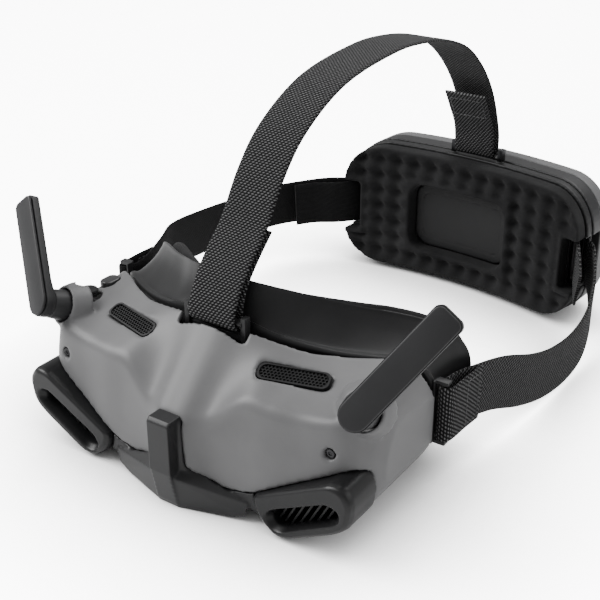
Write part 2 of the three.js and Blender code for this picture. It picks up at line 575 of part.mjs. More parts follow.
// A side strap: a short end folded back outside at the goggles, a long run, and an end folded
// back inside at the battery pack.
function sideStrap(name, lugX, lugZ, run, barX, barY, barZ, tail) {
  const s = Math.sign(lugX);
  const path = [
    [lugX + s * (WRAP + 1.3), 86, lugZ - 0.5], [lugX + s * (WRAP + 0.7), 74, lugZ],
    ...wrap(lugX, LUG_BAR[1], s > 0 ? 0 : 180, -s, (x, y) => [x, y, lugZ]),
    [lugX - s * (WRAP - 0.8), 74, lugZ],
    ...run,
    ...wrap(barX, barY, s > 0 ? 0 : 180, s, (x, y) => [x, y, barZ]),
    ...tail,
  ];
  add(name, ribbon(path, STRAP_WIDTH, [0, 0, 1]), CLOTH);
}
// Bars at the two ends of the battery pack, in its own turned frame.
const END_BAR = { x: 73.5, y: 5 };
const packPoint = (x, y) => v3(x, y, 0)
  .applyAxisAngle(v3(0, 0, 1), THREE.MathUtils.degToRad(PACK.turn)).add(v3(PACK.x, PACK.y, PACK.z));
const leftBar = packPoint(END_BAR.x, END_BAR.y);
const rightBar = packPoint(-END_BAR.x, END_BAR.y);
sideStrap('side_strap_left', LUG_BAR[0], LUG_HEIGHT, [
  [89.5, 86, 36.2], [92.5, 104, 32], [96, 128, 23], [98, 150, 17], [99, 175, 14.6], [98.5, 194, 17],
  [95.5, 210, 23.5], [90, 224, 32], [84, 234.5, 37.4],
], leftBar.x, leftBar.y, 37.5, [[77, 233, 37.5], [80.5, 225, 37.2], [86, 214, 31]]);
sideStrap('side_strap_right', -LUG_BAR[0], LUG_HEIGHT + RIGHT_LIFT, [
  [-89.8, 86, 47], [-95, 98, 47], [-103, 114, 46], [-109.5, 150, 41], [-110.5, 185, 37], [-106, 210, 36.5],
  [-96, 226, 37], [-84, 238, 38],
], rightBar.x, rightBar.y, 37.5, [[-75, 234.5, 38], [-86, 226, 38], [-94, 217, 37.5]]);

// ---------------------------------------------------------------- battery pack
const pack = new THREE.Group();
pack.position.set(PACK.x, PACK.y, PACK.z);
pack.rotation.z = THREE.MathUtils.degToRad(PACK.turn);
goggles.add(pack);

// The pack bends round the back of the head: how far a point at x lies behind the pack's own plane.
const bend = (x) => PACK.middle - PACK.sag * (x / (PACK.width / 2)) ** 2;

// A curved slab with rounded corners, w by h, from y0 back to y1; `soft` rounds its rear edge.
function slab(w, h, corner, y0, y1, cx = 0, cz = 0, soft = 0) {
  const flat = w / 2 - corner;
  const stations = [];
  for (let i = 0; i <= 4; i += 1) {
    const angle = (i * Math.PI) / 8;
    stations.push([flat + corner * Math.cos(angle), h / 2 - corner + corner * Math.sin(angle)]);
  }
  const steps = Math.max(2, Math.round(flat / 14));
  for (let i = 1; i < steps; i += 1) {
    stations.push([flat * (1 - i / steps), h / 2]);
  }
  const half = [...stations.map(([x, z]) => [-x, z]), [0, h / 2], ...stations.reverse()];
  return solid(outward(loft(half.map(([x, z]) => {
    const y = bend(cx + x);
    const at = (depth, height) => v3(cx + x, y + depth, cz + height);
    const rear = soft > 0 ? [at(y1 - soft, z), at(y1, z - soft), at(y1, soft - z), at(y1 - soft, -z)]
      : [at(y1, z), at(y1, -z)];
    return [at(y0, -z), at(y0, z), ...rear];
  }))));
}
const fullSlab = (less, y0, y1, soft = 0) => slab(
  PACK.width - 2 * less, PACK.height - 2 * less, PACK.corner - less, y0, y1, 0, 0, soft,
);
const NOTCH_HEIGHT = STRAP_WIDTH + 3.8;
const notch = (sign) => solid(box(20, 60, NOTCH_HEIGHT, [sign * (PACK.width / 2 - 1.5), -14, -2]));
const WINDOW = { w: 62, h: 40, corner: 9, x: -4, z: -2 };
const windowSlab = (less, y0, y1) => slab(
  WINDOW.w - 2 * less, WINDOW.h - 2 * less, WINDOW.corner, y0, y1, WINDOW.x, WINDOW.z,
);

const foam = fullSlab(1.5, 0, 10).subtract(windowSlab(0, -5, 20)).subtract(notch(1)).subtract(notch(-1));
add('pack_foam', geometryOf(foam), FOAM, pack);
add('pack_inner_plate', geometryOf(windowSlab(0.6, 7.5, 9.8)), BLACK, pack);
const frontCover = fullSlab(0.6, 10.3, 16).subtract(fullSlab(6, 13, 20))
  .subtract(notch(1)).subtract(notch(-1));
add('pack_front_cover', geometryOf(frontCover), BLACK, pack);
const liner = (sign) => solid(box(24, 30, NOTCH_HEIGHT + 5, [sign * (PACK.width / 2 - 2), 18, -2]));
const band = fullSlab(0, 16.3, 26)
  .subtract(fullSlab(2.4, 10, 30).subtract(liner(1)).subtract(liner(-1)))
  .subtract(notch(1)).subtract(notch(-1));
add('pack_middle_band', geometryOf(band), TRIM, pack);
const POWER = { x: 52, z: 8, r: 6 };
const PORT = { x: 30, z: -26 };
const rearY = 39;                // how far back the rear shell reaches
const buttonY = rearY + bend(POWER.x);
const portY = rearY + bend(PORT.x);
const rearShell = fullSlab(0, 26.3, rearY, 7).subtract(fullSlab(2.2, 24, rearY - 2.4, 6))
  .subtract(solid(rod(POWER.r + GAP, 30, 'y', [POWER.x, buttonY, POWER.z], 22)))
  .subtract(solid(box(16, 30, 2.6, [POWER.x, buttonY, POWER.z - 13])))
  .subtract(solid(frontPrism(roundedRect(9.6, 3.8, 1.8, PORT.x, PORT.z), portY - 12, portY + 12)));
add('pack_rear_shell', geometryOf(rearShell), PACK_GREY, pack);
add('power_button', rod(POWER.r, 3.4, 'y', [POWER.x, buttonY - 0.8, POWER.z], 22), TRIM, pack);
add('charge_lights', box(15.2, 1.6, 2, [POWER.x, buttonY - 1.6, POWER.z - 13]), GLASS, pack);
const port = solid(frontPrism(roundedRect(9, 3.2, 1.5, PORT.x, PORT.z), portY - 8, portY - 0.8))
  .subtract(solid(frontPrism(roundedRect(7.4, 1.8, 0.85, PORT.x, PORT.z), portY - 5, portY + 10)));
add('charge_port', geometryOf(port), STEEL, pack);
add('cell_upper', new RoundedBoxGeometry(88, 9, 25, 1, 1.5).translate(-2, 23, 14), PACK_GREY, pack);
add('cell_lower', new RoundedBoxGeometry(88, 9, 25, 1, 1.5).translate(-2, 23, -14), PACK_GREY, pack);
add('pack_board', box(84, 1.6, 40, [-2, 30, 0]), BOARD, pack);

for (const [name, sign] of [['pack_end_bar_left', 1], ['pack_end_bar_right', -1]]) {
  const bar = rod(PACK_BAR_RADIUS, NOTCH_HEIGHT - 1.2, 'z', [sign * END_BAR.x, END_BAR.y, -2], 12);
  const armZ = NOTCH_HEIGHT / 2 - 0.9;
  const arm = (z) => box(3.2, 6.8, 1.2, [sign * END_BAR.x, END_BAR.y + 2.4, z]);
  const rail = box(3.2, 1.2, 2 * armZ, [sign * END_BAR.x, END_BAR.y + 5.6, -2]);
  const fitting = solid(bar).add(solid(arm(-2 + armZ))).add(solid(arm(-2 - armZ))).add(solid(rail));
  add(name, geometryOf(fitting), TRIM, pack);
}
const loopZ = PACK_BAR.z - PACK.z;
const packLoop = solid(rod(PACK_BAR_RADIUS, 28, 'x', [0, 15.7, loopZ], 12))
  .add(solid(box(2.6, 4.4, 6.6, [14.8, 15.7, loopZ - 0.7])))
  .add(solid(box(2.6, 4.4, 6.6, [-14.8, 15.7, loopZ - 0.7])));
add('pack_top_loop', geometryOf(packLoop), TRIM, pack);

export default goggles;
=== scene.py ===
import json
import math

import bmesh
import bpy
import numpy as np
from mathutils import Matrix, Vector


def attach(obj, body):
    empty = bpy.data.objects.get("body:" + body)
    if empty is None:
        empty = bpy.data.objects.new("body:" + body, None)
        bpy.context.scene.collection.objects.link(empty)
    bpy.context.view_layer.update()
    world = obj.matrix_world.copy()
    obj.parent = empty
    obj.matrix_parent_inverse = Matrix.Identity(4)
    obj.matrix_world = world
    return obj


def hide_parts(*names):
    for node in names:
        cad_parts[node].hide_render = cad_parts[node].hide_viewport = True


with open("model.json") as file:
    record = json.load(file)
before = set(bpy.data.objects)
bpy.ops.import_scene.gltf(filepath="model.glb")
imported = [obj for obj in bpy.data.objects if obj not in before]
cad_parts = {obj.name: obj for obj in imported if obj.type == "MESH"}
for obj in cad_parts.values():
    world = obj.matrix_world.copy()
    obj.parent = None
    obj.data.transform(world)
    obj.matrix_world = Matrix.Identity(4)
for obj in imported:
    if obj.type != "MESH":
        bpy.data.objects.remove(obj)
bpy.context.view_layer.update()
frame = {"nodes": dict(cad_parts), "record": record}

# FPV goggles with a head strap and a battery pack. Lengths below are in millimetres of the CAD frame:
# +X is the wearer's left, +Y runs from the front face back to the battery, +Z is up.
MM = 0.001

# ---------------------------------------------------------------- driving dimensions
WALL = 2.4                      # casing wall
GAP = 0.3                       # clearance between neighbouring pieces
SIDE = 86.0                     # half of the casing's width
WEBBING = 1.5                   # strap thickness
TOP_STRAP_WIDTH = 24.0
SIDE_STRAP_WIDTH = 26.0
BAR_RADIUS = 1.6
PACK_WIDTH, PACK_HEIGHT, PACK_CORNER = 155.0, 76.0, 25.0
PACK_CENTRE = (4.5, 238.0, 39.5)
PACK_TURN = math.radians(-4.4)
PACK_MIDDLE, PACK_SAG = 3.0, 12.0   # how the pack bends round the back of the head
FOAM_DEPTH = (0.0, 10.0)        # how far behind the pack's own plane each layer starts and ends
COVER_DEPTH = (10.3, 16.0)
BAND_DEPTH = (16.3, 26.0)
REAR_DEPTH = (26.3, 39.0)
BUMP_SPACING = (11.0, 9.5)      # across and up the battery foam
BUMP_HEIGHT = 4.4
EYE_HALF_SPACING = 32.0
KNOB_Y, KNOB_MIDDLE, KNOB_RIB_RADIUS, KNOB_RIBS = 27.0, 3.6, 6.85, 30
HONEYCOMB_PITCH = 1.55
STITCH_PITCH = 2.6

PACK_FRAME = Matrix.Translation(Vector(PACK_CENTRE)) @ Matrix.Rotation(PACK_TURN, 4, "Z")


# ================================================================ camera, floor and light
def make_camera():
    azimuth, elevation = math.radians(34.42), math.radians(26.64)
    back = Vector((
        math.sin(azimuth) * math.cos(elevation),
        -math.cos(azimuth) * math.cos(elevation),
        math.sin(elevation),
    ))
    camera = bpy.data.objects.new("camera", bpy.data.cameras.new("camera"))
    camera.data.lens = 66.0
    camera.data.sensor_width = 36.0
    camera.data.clip_start = 0.01
    camera.data.clip_end = 20.0
    camera.location = Vector((257.5, -291.6, 283.7)) * MM
    camera.rotation_mode = "QUATERNION"
    camera.rotation_quaternion = (-back).to_track_quat("-Z", "Y")
    bpy.context.scene.collection.objects.link(camera)
    bpy.context.scene.camera = camera


def area_light(name, place, target, size, power):
    data = bpy.data.lights.new(name, "AREA")
    data.shape = "SQUARE"
    data.size = size
    data.energy = power
    light = bpy.data.objects.new(name, data)
    light.location = place
    light.rotation_mode = "QUATERNION"
    light.rotation_quaternion = (Vector(target) - Vector(place)).to_track_quat("-Z", "Y")
    bpy.context.scene.collection.objects.link(light)


def make_studio():
    world = bpy.data.worlds.new("studio")
    world.use_nodes = True
    world.node_tree.nodes["Background"].inputs["Color"].default_value = (1, 1, 1, 1)
    world.node_tree.nodes["Background"].inputs["Strength"].default_value = 0.5
    bpy.context.scene.world = world
    area_light("key_left", (-0.75, -0.35, 0.85), (0, 0.08, 0.05), 0.7, 20)
    area_light("fill_right", (0.95, 0.35, 0.55), (0.05, 0.1, 0.05), 0.6, 2.5)
    area_light("top_back", (0.1, 0.75, 1.1), (0, 0.1, 0.05), 0.9, 12)
    half = 30.0
    floor = mesh_object("floor", [(-half, -half, 0), (half, -half, 0), (half, half, 0), (-half, half, 0)],
                        [(0, 1, 2, 3)])
    floor.location.z = -0.0002
    paint(floor, pale_floor())


# ================================================================ mesh helpers
def mesh_object(name, points, faces):
    mesh = bpy.data.meshes.new(name)
    mesh.from_pydata([tuple(p) for p in points], [], [tuple(f) for f in faces])
    made = bpy.data.objects.new(name, mesh)
    bpy.context.scene.collection.objects.link(made)
    return made


def paint(thing, material):
    thing.data.materials.clear()
    thing.data.materials.append(material)


def outward(thing):
    """Merges doubles and turns every face outward."""
    work = bmesh.new()
    work.from_mesh(thing.data)
    bmesh.ops.remove_doubles(work, verts=work.verts, dist=1e-7)
    bmesh.ops.recalc_face_normals(work, faces=work.faces)
    work.to_mesh(thing.data)
    work.free()
    return thing


def settle(thing):
    """Applies every modifier, so that only a plain mesh is left."""
    graph = bpy.context.evaluated_depsgraph_get()
    done = bpy.data.meshes.new_from_object(thing.evaluated_get(graph))
    old = thing.data
    thing.modifiers.clear()
    thing.data = done
    done.name = thing.name
    bpy.data.meshes.remove(old)
    return thing


def smooth_shade(thing, angle=40):
    for face in thing.data.polygons:
        face.use_smooth = True
    thing.data.set_sharp_from_angle(angle=math.radians(angle))
    return thing


def combine(thing, other, operation):
    """Joins, cuts or intersects with another closed solid, which is then thrown away."""
    step = thing.modifiers.new("combine", "BOOLEAN")
    step.operation = operation
    step.solver = "MANIFOLD"
    step.object = other
    settle(thing)
    mesh = other.data
    bpy.data.objects.remove(other)
    bpy.data.meshes.remove(mesh)
    return thing


def soften(thing, voxel, rounds, factor=0.5):
    """An even skin with every edge rounded, as a moulding has."""
    remesh = thing.modifiers.new("skin", "REMESH")
    remesh.mode = "VOXEL"
    remesh.voxel_size = voxel * MM
    relax = thing.modifiers.new("relax", "SMOOTH")
    relax.factor = factor
    relax.iterations = rounds
    settle(thing)
    for face in thing.data.polygons:
        face.use_smooth = True
    return thing


def through(points, count, closed=False):
    """A smooth line through the points; each point may hold any number of values."""
    p = np.array(points, float)
    n = len(p)
    spans = n if closed else n - 1
    t = np.linspace(0, spans, count, endpoint=not closed)
    i = np.minimum(t.astype(int), spans - 1)
    f = (t - i)[:, None]

    def at(k):
        return p[k % n] if closed else p[np.clip(k, 0, n - 1)]

    a, b, c, d = at(i - 1), at(i), at(i + 1), at(i + 2)
    return 0.5 * (2 * b + (c - a) * f + (2 * a - 5 * b + 4 * c - d) * f**2 + (3 * b - a - 3 * c + d) * f**3)


def grid_faces(rows, columns, wrap_rows, wrap_columns):
    faces = []
    for r in range(rows if wrap_rows else rows - 1):
        for c in range(columns if wrap_columns else columns - 1):
            r2, c2 = (r + 1) % rows, (c + 1) % columns
            faces.append((r * columns + c, r * columns + c2, r2 * columns + c2, r2 * columns + c))
    return faces


def loft(name, rings, loop=False):
    """A closed body through closed rings; open ends are capped, or the last ring joins the first."""
    rows, columns = len(rings), len(rings[0])
    points = np.concatenate([np.asarray(ring, float) for ring in rings]) * MM
    faces = grid_faces(rows, columns, loop, True)
    if not loop:
        faces.append(tuple(range(columns)))
        faces.append(tuple(range((rows - 1) * columns, rows * columns)))
    return outward(mesh_object(name, points, faces))


def round_corners(corners, radii, arc=6, along=1):
    """A closed outline with its corners rounded, and each straight side cut into `along` parts."""
    corners = [np.array(c, float) for c in corners]
    n = len(corners)
    line = []
    for i, here in enumerate(corners):
        before, after = corners[i - 1], corners[(i + 1) % n]
        radius = radii[i] if isinstance(radii, (list, tuple)) else radii
        into, out = before - here, after - here
        reach = min(radius, np.linalg.norm(into) * 0.48, np.linalg.norm(out) * 0.48)
        start = here + into / np.linalg.norm(into) * reach
        end = here + out / np.linalg.norm(out) * reach
        for k in range(arc + 1):
            t = k / arc
            line.append((1 - t) ** 2 * start + 2 * t * (1 - t) * here + t**2 * end)
        if along > 1:
            next_radius = radii[(i + 1) % n] if isinstance(radii, (list, tuple)) else radii
            reach_2 = min(next_radius, np.linalg.norm(out) * 0.48)
            far = after - out / np.linalg.norm(out) * reach_2
            for k in range(1, along):
                line.append(end + (far - end) * k / along)
    return np.array(line)


def prism(name, outline, y0, y1):
    """A front-view outline (x, z) carried from y0 back to y1."""
    outline = np.asarray(outline, float)
    rings = [np.column_stack([outline[:, 0], np.full(len(outline), y), outline[:, 1]]) for y in (y0, y1)]
    return loft(name, rings)


def block(name, size, centre):
    corners = [(sx, sy) for sx, sy in ((-1, -1), (1, -1), (1, 1), (-1, 1))]
    outline = [(centre[0] + sx * size[0] / 2, centre[2] + sy * size[2] / 2) for sx, sy in corners]
    return prism(name, outline, centre[1] - size[1] / 2, centre[1] + size[1] / 2)


def drum(name, radius, start, end, sides=40):
    """A round bar from one point to another."""
    start, end = Vector(start), Vector(end)
    turn = (end - start).to_track_quat("Z", "Y").to_matrix()
    rings = []
    for centre in (start, end):
        rings.append([centre + turn @ Vector((radius * math.cos(a), radius * math.sin(a), 0))
                      for a in np.linspace(0, 2 * math.pi, sides, endpoint=False)])
    return loft(name, rings)


def rounded_rect(width, height, corner, x=0.0, z=0.0, arc=10):
    corners = [(-1, -1), (1, -1), (1, 1), (-1, 1)]
    line = []
    for k, (sx, sz) in enumerate(corners):
        cx, cz = x + sx * (width / 2 - corner), z + sz * (height / 2 - corner)
        for a in np.linspace(0, math.pi / 2, arc + 1):
            angle = math.pi + k * math.pi / 2 + a
            line.append((cx + corner * math.cos(angle), cz + corner * math.sin(angle)))
    return np.array(line)


def mirrored(thing, name):
    """The same solid on the wearer's other side."""
    twin = bpy.data.objects.new(name, thing.data.copy())
    bpy.context.scene.collection.objects.link(twin)
    twin.data.transform(Matrix.Diagonal((-1, 1, 1, 1)))
    twin.data.flip_normals()
    return twin


def placed(thing, matrix):
    """Moves a solid drawn about its own centre, in millimetres, to its place on the object."""
    metres = Matrix.Translation(matrix.translation * MM) @ matrix.to_3x3().to_4x4()
    thing.data.transform(metres)
    return thing


def hand_over(piece, material, slot, body, *nodes):
    """Finishes a piece: its material, the body it rides on and the nodes it stands for. The slot is not used.
    """
    paint(piece, material)
    if nodes:
        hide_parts(*nodes)
    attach(piece, body)
    return piece


def eased(node, width, material, slot, body, segments=3, angle=32):
    """The node's own shape with its edges rounded."""
    source = frame["nodes"][node]
    copy = bpy.data.objects.new(node + "_eased", source.data.copy())
    bpy.context.scene.collection.objects.link(copy)
    work = bmesh.new()
    work.from_mesh(copy.data)
    bmesh.ops.remove_doubles(work, verts=work.verts, dist=2e-6)
    bmesh.ops.dissolve_limit(work, angle_limit=math.radians(1.5), verts=work.verts, edges=work.edges)
    work.to_mesh(copy.data)
    work.free()
    bevel = copy.modifiers.new("edges", "BEVEL")
    bevel.width = width * MM
    bevel.segments = segments
    bevel.limit_method = "ANGLE"
    bevel.angle_limit = math.radians(angle)
    bevel.harden_normals = False
    settle(copy)
    smooth_shade(copy, 50)
    return hand_over(copy, material, slot, body, node)


# ================================================================ materials
def new_material(name):
    material = bpy.data.materials.new(name)
    material.use_nodes = True
    material.node_tree.nodes.clear()
    return material, material.node_tree.nodes, material.node_tree.links


def moulded(name, colour, worn, roughness, grain=1400.0, depth=0.12, coat=0.0):
    """Moulded plastic: fine spark-eroded grain, faint cloudy gloss changes and a touch of dust."""
    material, nodes, links = new_material(name)

    finish = nodes.new("NodeFrame")
    finish.label = "colour and gloss"
    relief = nodes.new("NodeFrame")
    relief.label = "moulded grain"

    place = nodes.new("ShaderNodeTexCoord")
    place.label = "the piece's own place"
    place.location = (-1100, 0)

    clouds = nodes.new("ShaderNodeTexNoise")
    clouds.label = "handling marks"
    clouds.location = (-850, 200)
    clouds.parent = finish
    clouds.inputs["Scale"].default_value = 38.0
    clouds.inputs["Detail"].default_value = 5.0

    tint = nodes.new("ShaderNodeValToRGB")
    tint.label = "plastic colour"
    tint.location = (-600, 250)
    tint.parent = finish
    tint.color_ramp.elements[0].position = 0.3
    tint.color_ramp.elements[0].color = (*colour, 1)
    tint.color_ramp.elements[1].position = 0.75
    tint.color_ramp.elements[1].color = (*worn, 1)

    gloss = nodes.new("ShaderNodeMapRange")
    gloss.label = "gloss from handling"
    gloss.location = (-600, 0)
    gloss.parent = finish
    gloss.inputs["To Min"].default_value = roughness - 0.05
    gloss.inputs["To Max"].default_value = roughness + 0.07

    pits = nodes.new("ShaderNodeTexNoise")
    pits.label = "spark grain"
    pits.location = (-850, -300)
    pits.parent = relief
    pits.inputs["Scale"].default_value = grain
    pits.inputs["Detail"].default_value = 2.0

    bump = nodes.new("ShaderNodeBump")
    bump.label = "grain height"
    bump.location = (-400, -300)
    bump.parent = relief
    bump.inputs["Strength"].default_value = depth
    bump.inputs["Distance"].default_value = 0.0002

    shader = nodes.new("ShaderNodeBsdfPrincipled")
    shader.label = "plastic"
    shader.location = (-100, 100)
    shader.inputs["Specular IOR Level"].default_value = 0.3
    shader.inputs["Coat Weight"].default_value = coat
    shader.inputs["Coat Roughness"].default_value = 0.25

    output = nodes.new("ShaderNodeOutputMaterial")
    output.label = "surface"
    output.location = (200, 100)

    links.new(place.outputs["Object"], clouds.inputs["Vector"])
    links.new(place.outputs["Object"], pits.inputs["Vector"])
    links.new(clouds.outputs["Fac"], tint.inputs["Fac"])
    links.new(clouds.outputs["Fac"], gloss.inputs["Value"])
    links.new(pits.outputs["Fac"], bump.inputs["Height"])
    links.new(tint.outputs["Color"], shader.inputs["Base Color"])
    links.new(gloss.outputs["Result"], shader.inputs["Roughness"])
    links.new(bump.outputs["Normal"], shader.inputs["Normal"])
    links.new(shader.outputs["BSDF"], output.inputs["Surface"])
    return material


def woven(name, dark, light, pitch, slant):
    """Webbing: twill ribs along the band's own length, with fuzzy light yarn ends between them."""
    material, nodes, links = new_material(name)

    weave = nodes.new("NodeFrame")
    weave.label = "twill weave"
    yarn = nodes.new("NodeFrame")
    yarn.label = "yarn ends"

    place = nodes.new("ShaderNodeUVMap")
    place.label = "along and across the band"
    place.uv_map = "band"
    place.location = (-1300, 0)

    turn = nodes.new("ShaderNodeMapping")
    turn.label = "twill angle"
    turn.location = (-1100, 100)
    turn.parent = weave
    turn.inputs["Rotation"].default_value = (0, 0, slant)

    ribs = nodes.new("ShaderNodeTexWave")
    ribs.label = "twill ribs"
    ribs.location = (-850, 200)
    ribs.parent = weave
    ribs.wave_type = "BANDS"
    ribs.bands_direction = "X"
    ribs.inputs["Scale"].default_value = math.pi / 10 / pitch
    ribs.inputs["Distortion"].default_value = 1.2
    ribs.inputs["Detail"].default_value = 2.0
    ribs.inputs["Detail Scale"].default_value = 2.0

    picks = nodes.new("ShaderNodeTexWave")
    picks.label = "cross yarns"
    picks.location = (-850, -50)
    picks.parent = weave
    picks.wave_type = "BANDS"
    picks.bands_direction = "Y"
    picks.inputs["Scale"].default_value = 1.4 * math.pi / 10 / pitch
    picks.inputs["Distortion"].default_value = 1.0

    crossing = nodes.new("ShaderNodeMath")
    crossing.label = "over and under"
    crossing.operation = "MULTIPLY"
    crossing.location = (-600, 100)
    crossing.parent = weave

    fuzz = nodes.new("ShaderNodeTexNoise")
    fuzz.label = "yarn fuzz"
    fuzz.location = (-850, -350)
    fuzz.parent = yarn
    fuzz.inputs["Scale"].default_value = 1.6
    fuzz.inputs["Detail"].default_value = 6.0
    fuzz.inputs["Roughness"].default_value = 0.7

    mixed = nodes.new("ShaderNodeMath")
    mixed.label = "weave with fuzz"
    mixed.operation = "MULTIPLY"
    mixed.location = (-400, -50)
    mixed.parent = yarn

    tint = nodes.new("ShaderNodeValToRGB")
    tint.label = "yarn colour"
    tint.location = (-200, 200)
    tint.color_ramp.elements[0].position = 0.05
    tint.color_ramp.elements[0].color = (*dark, 1)
    tint.color_ramp.elements[1].position = 0.5
    tint.color_ramp.elements[1].color = (*light, 1)

    bump = nodes.new("ShaderNodeBump")
    bump.label = "weave height"
    bump.location = (-200, -200)
    bump.inputs["Strength"].default_value = 0.7
    bump.inputs["Distance"].default_value = 0.0004

    shader = nodes.new("ShaderNodeBsdfPrincipled")
    shader.label = "nylon yarn"
    shader.location = (100, 100)
    shader.inputs["Roughness"].default_value = 0.85
    shader.inputs["Specular IOR Level"].default_value = 0.08
    shader.inputs["Sheen Weight"].default_value = 0.02
    shader.inputs["Sheen Roughness"].default_value = 0.5

    output = nodes.new("ShaderNodeOutputMaterial")
    output.label = "surface"
    output.location = (400, 100)

    links.new(place.outputs["UV"], turn.inputs["Vector"])
    links.new(turn.outputs["Vector"], ribs.inputs["Vector"])
    links.new(place.outputs["UV"], picks.inputs["Vector"])
    links.new(place.outputs["UV"], fuzz.inputs["Vector"])
    links.new(ribs.outputs["Fac"], crossing.inputs[0])
    links.new(picks.outputs["Fac"], crossing.inputs[1])
    links.new(crossing.outputs["Value"], mixed.inputs[0])
    links.new(fuzz.outputs["Fac"], mixed.inputs[1])
    links.new(mixed.outputs["Value"], tint.inputs["Fac"])
    links.new(mixed.outputs["Value"], bump.inputs["Height"])
    links.new(tint.outputs["Color"], shader.inputs["Base Color"])
    links.new(bump.outputs["Normal"], shader.inputs["Normal"])
    links.new(shader.outputs["BSDF"], output.inputs["Surface"])
    return material


def cellular(name, colour, light, cell, roughness, depth, sheen):
    """Open-cell foam or soft-touch rubber: small rounded cells over a cloudy tint."""
    material, nodes, links = new_material(name)

    cells = nodes.new("NodeFrame")
    cells.label = "cells"

    place = nodes.new("ShaderNodeTexCoord")
    place.label = "the piece's own place"
    place.location = (-1100, 0)

    pores = nodes.new("ShaderNodeTexVoronoi")
    pores.label = "foam cells"
    pores.location = (-850, -200)
    pores.parent = cells
    pores.inputs["Scale"].default_value = 1000.0 / cell

    clouds = nodes.new("ShaderNodeTexNoise")
    clouds.label = "uneven tint"
    clouds.location = (-850, 150)
    clouds.inputs["Scale"].default_value = 60.0
    clouds.inputs["Detail"].default_value = 6.0

    tint = nodes.new("ShaderNodeValToRGB")
    tint.label = "foam colour"
    tint.location = (-600, 200)
    tint.color_ramp.elements[0].position = 0.25
    tint.color_ramp.elements[0].color = (*colour, 1)
    tint.color_ramp.elements[1].position = 0.8
    tint.color_ramp.elements[1].color = (*light, 1)

    bump = nodes.new("ShaderNodeBump")
    bump.label = "cell height"
    bump.location = (-500, -200)
    bump.parent = cells
    bump.inputs["Strength"].default_value = depth
    bump.inputs["Distance"].default_value = 0.0003

    shader = nodes.new("ShaderNodeBsdfPrincipled")
    shader.label = "soft surface"
    shader.location = (-100, 100)
    shader.inputs["Roughness"].default_value = roughness
    shader.inputs["Specular IOR Level"].default_value = 0.18
    shader.inputs["Sheen Weight"].default_value = sheen
    shader.inputs["Sheen Roughness"].default_value = 0.4

    output = nodes.new("ShaderNodeOutputMaterial")
    output.label = "surface"
    output.location = (200, 100)

    links.new(place.outputs["Object"], pores.inputs["Vector"])
    links.new(place.outputs["Object"], clouds.inputs["Vector"])
    links.new(clouds.outputs["Fac"], tint.inputs["Fac"])
    links.new(pores.outputs["Distance"], bump.inputs["Height"])
    links.new(tint.outputs["Color"], shader.inputs["Base Color"])
    links.new(bump.outputs["Normal"], shader.inputs["Normal"])
    links.new(shader.outputs["BSDF"], output.inputs["Surface"])
    return material


def metal(name, colour, roughness, grain):
    """Brushed or plated metal with fine drawn lines."""
    material, nodes, links = new_material(name)

    place = nodes.new("ShaderNodeTexCoord")
    place.label = "the piece's own place"
    place.location = (-1000, 0)

    stretch = nodes.new("ShaderNodeMapping")
    stretch.label = "drawn along X"
    stretch.location = (-800, 0)
    stretch.inputs["Scale"].default_value = (0.1, 1, 1)

    lines = nodes.new("ShaderNodeTexNoise")
    lines.label = "drawn lines"
    lines.location = (-600, 0)
    lines.inputs["Scale"].default_value = grain
    lines.inputs["Detail"].default_value = 3.0

    gloss = nodes.new("ShaderNodeMapRange")
    gloss.label = "gloss along the lines"
    gloss.location = (-400, 0)
    gloss.inputs["To Min"].default_value = roughness - 0.08
    gloss.inputs["To Max"].default_value = roughness + 0.08

    shader = nodes.new("ShaderNodeBsdfPrincipled")
    shader.label = "metal"
    shader.location = (-150, 100)
    shader.inputs["Base Color"].default_value = (*colour, 1)
    shader.inputs["Metallic"].default_value = 1.0

    output = nodes.new("ShaderNodeOutputMaterial")
    output.label = "surface"
    output.location = (150, 100)

    links.new(place.outputs["Object"], stretch.inputs["Vector"])
    links.new(stretch.outputs["Vector"], lines.inputs["Vector"])
    links.new(lines.outputs["Fac"], gloss.inputs["Value"])
    links.new(gloss.outputs["Result"], shader.inputs["Roughness"])
    links.new(shader.outputs["BSDF"], output.inputs["Surface"])
    return material


def coated_glass(name, colour, roughness):
    """Coated optical glass with a faint smear of dust."""
    material, nodes, links = new_material(name)

    place = nodes.new("ShaderNodeTexCoord")
    place.label = "the piece's own place"
    place.location = (-900, 0)

    dust = nodes.new("ShaderNodeTexNoise")
    dust.label = "dust"
    dust.location = (-700, 0)
    dust.inputs["Scale"].default_value = 220.0
    dust.inputs["Detail"].default_value = 4.0

    haze = nodes.new("ShaderNodeMapRange")
    haze.label = "haze"
    haze.location = (-450, 0)
    haze.inputs["To Min"].default_value = roughness
    haze.inputs["To Max"].default_value = roughness + 0.12

    shader = nodes.new("ShaderNodeBsdfPrincipled")
    shader.label = "coated glass"
    shader.location = (-150, 100)
    shader.inputs["Base Color"].default_value = (*colour, 1)
    shader.inputs["Coat Weight"].default_value = 1.0
    shader.inputs["Coat Roughness"].default_value = 0.03
    shader.inputs["IOR"].default_value = 1.5

    output = nodes.new("ShaderNodeOutputMaterial")
    output.label = "surface"
    output.location = (150, 100)

    links.new(place.outputs["Object"], dust.inputs["Vector"])
    links.new(dust.outputs["Fac"], haze.inputs["Value"])
    links.new(haze.outputs["Result"], shader.inputs["Roughness"])
    links.new(shader.outputs["BSDF"], output.inputs["Surface"])
    return material


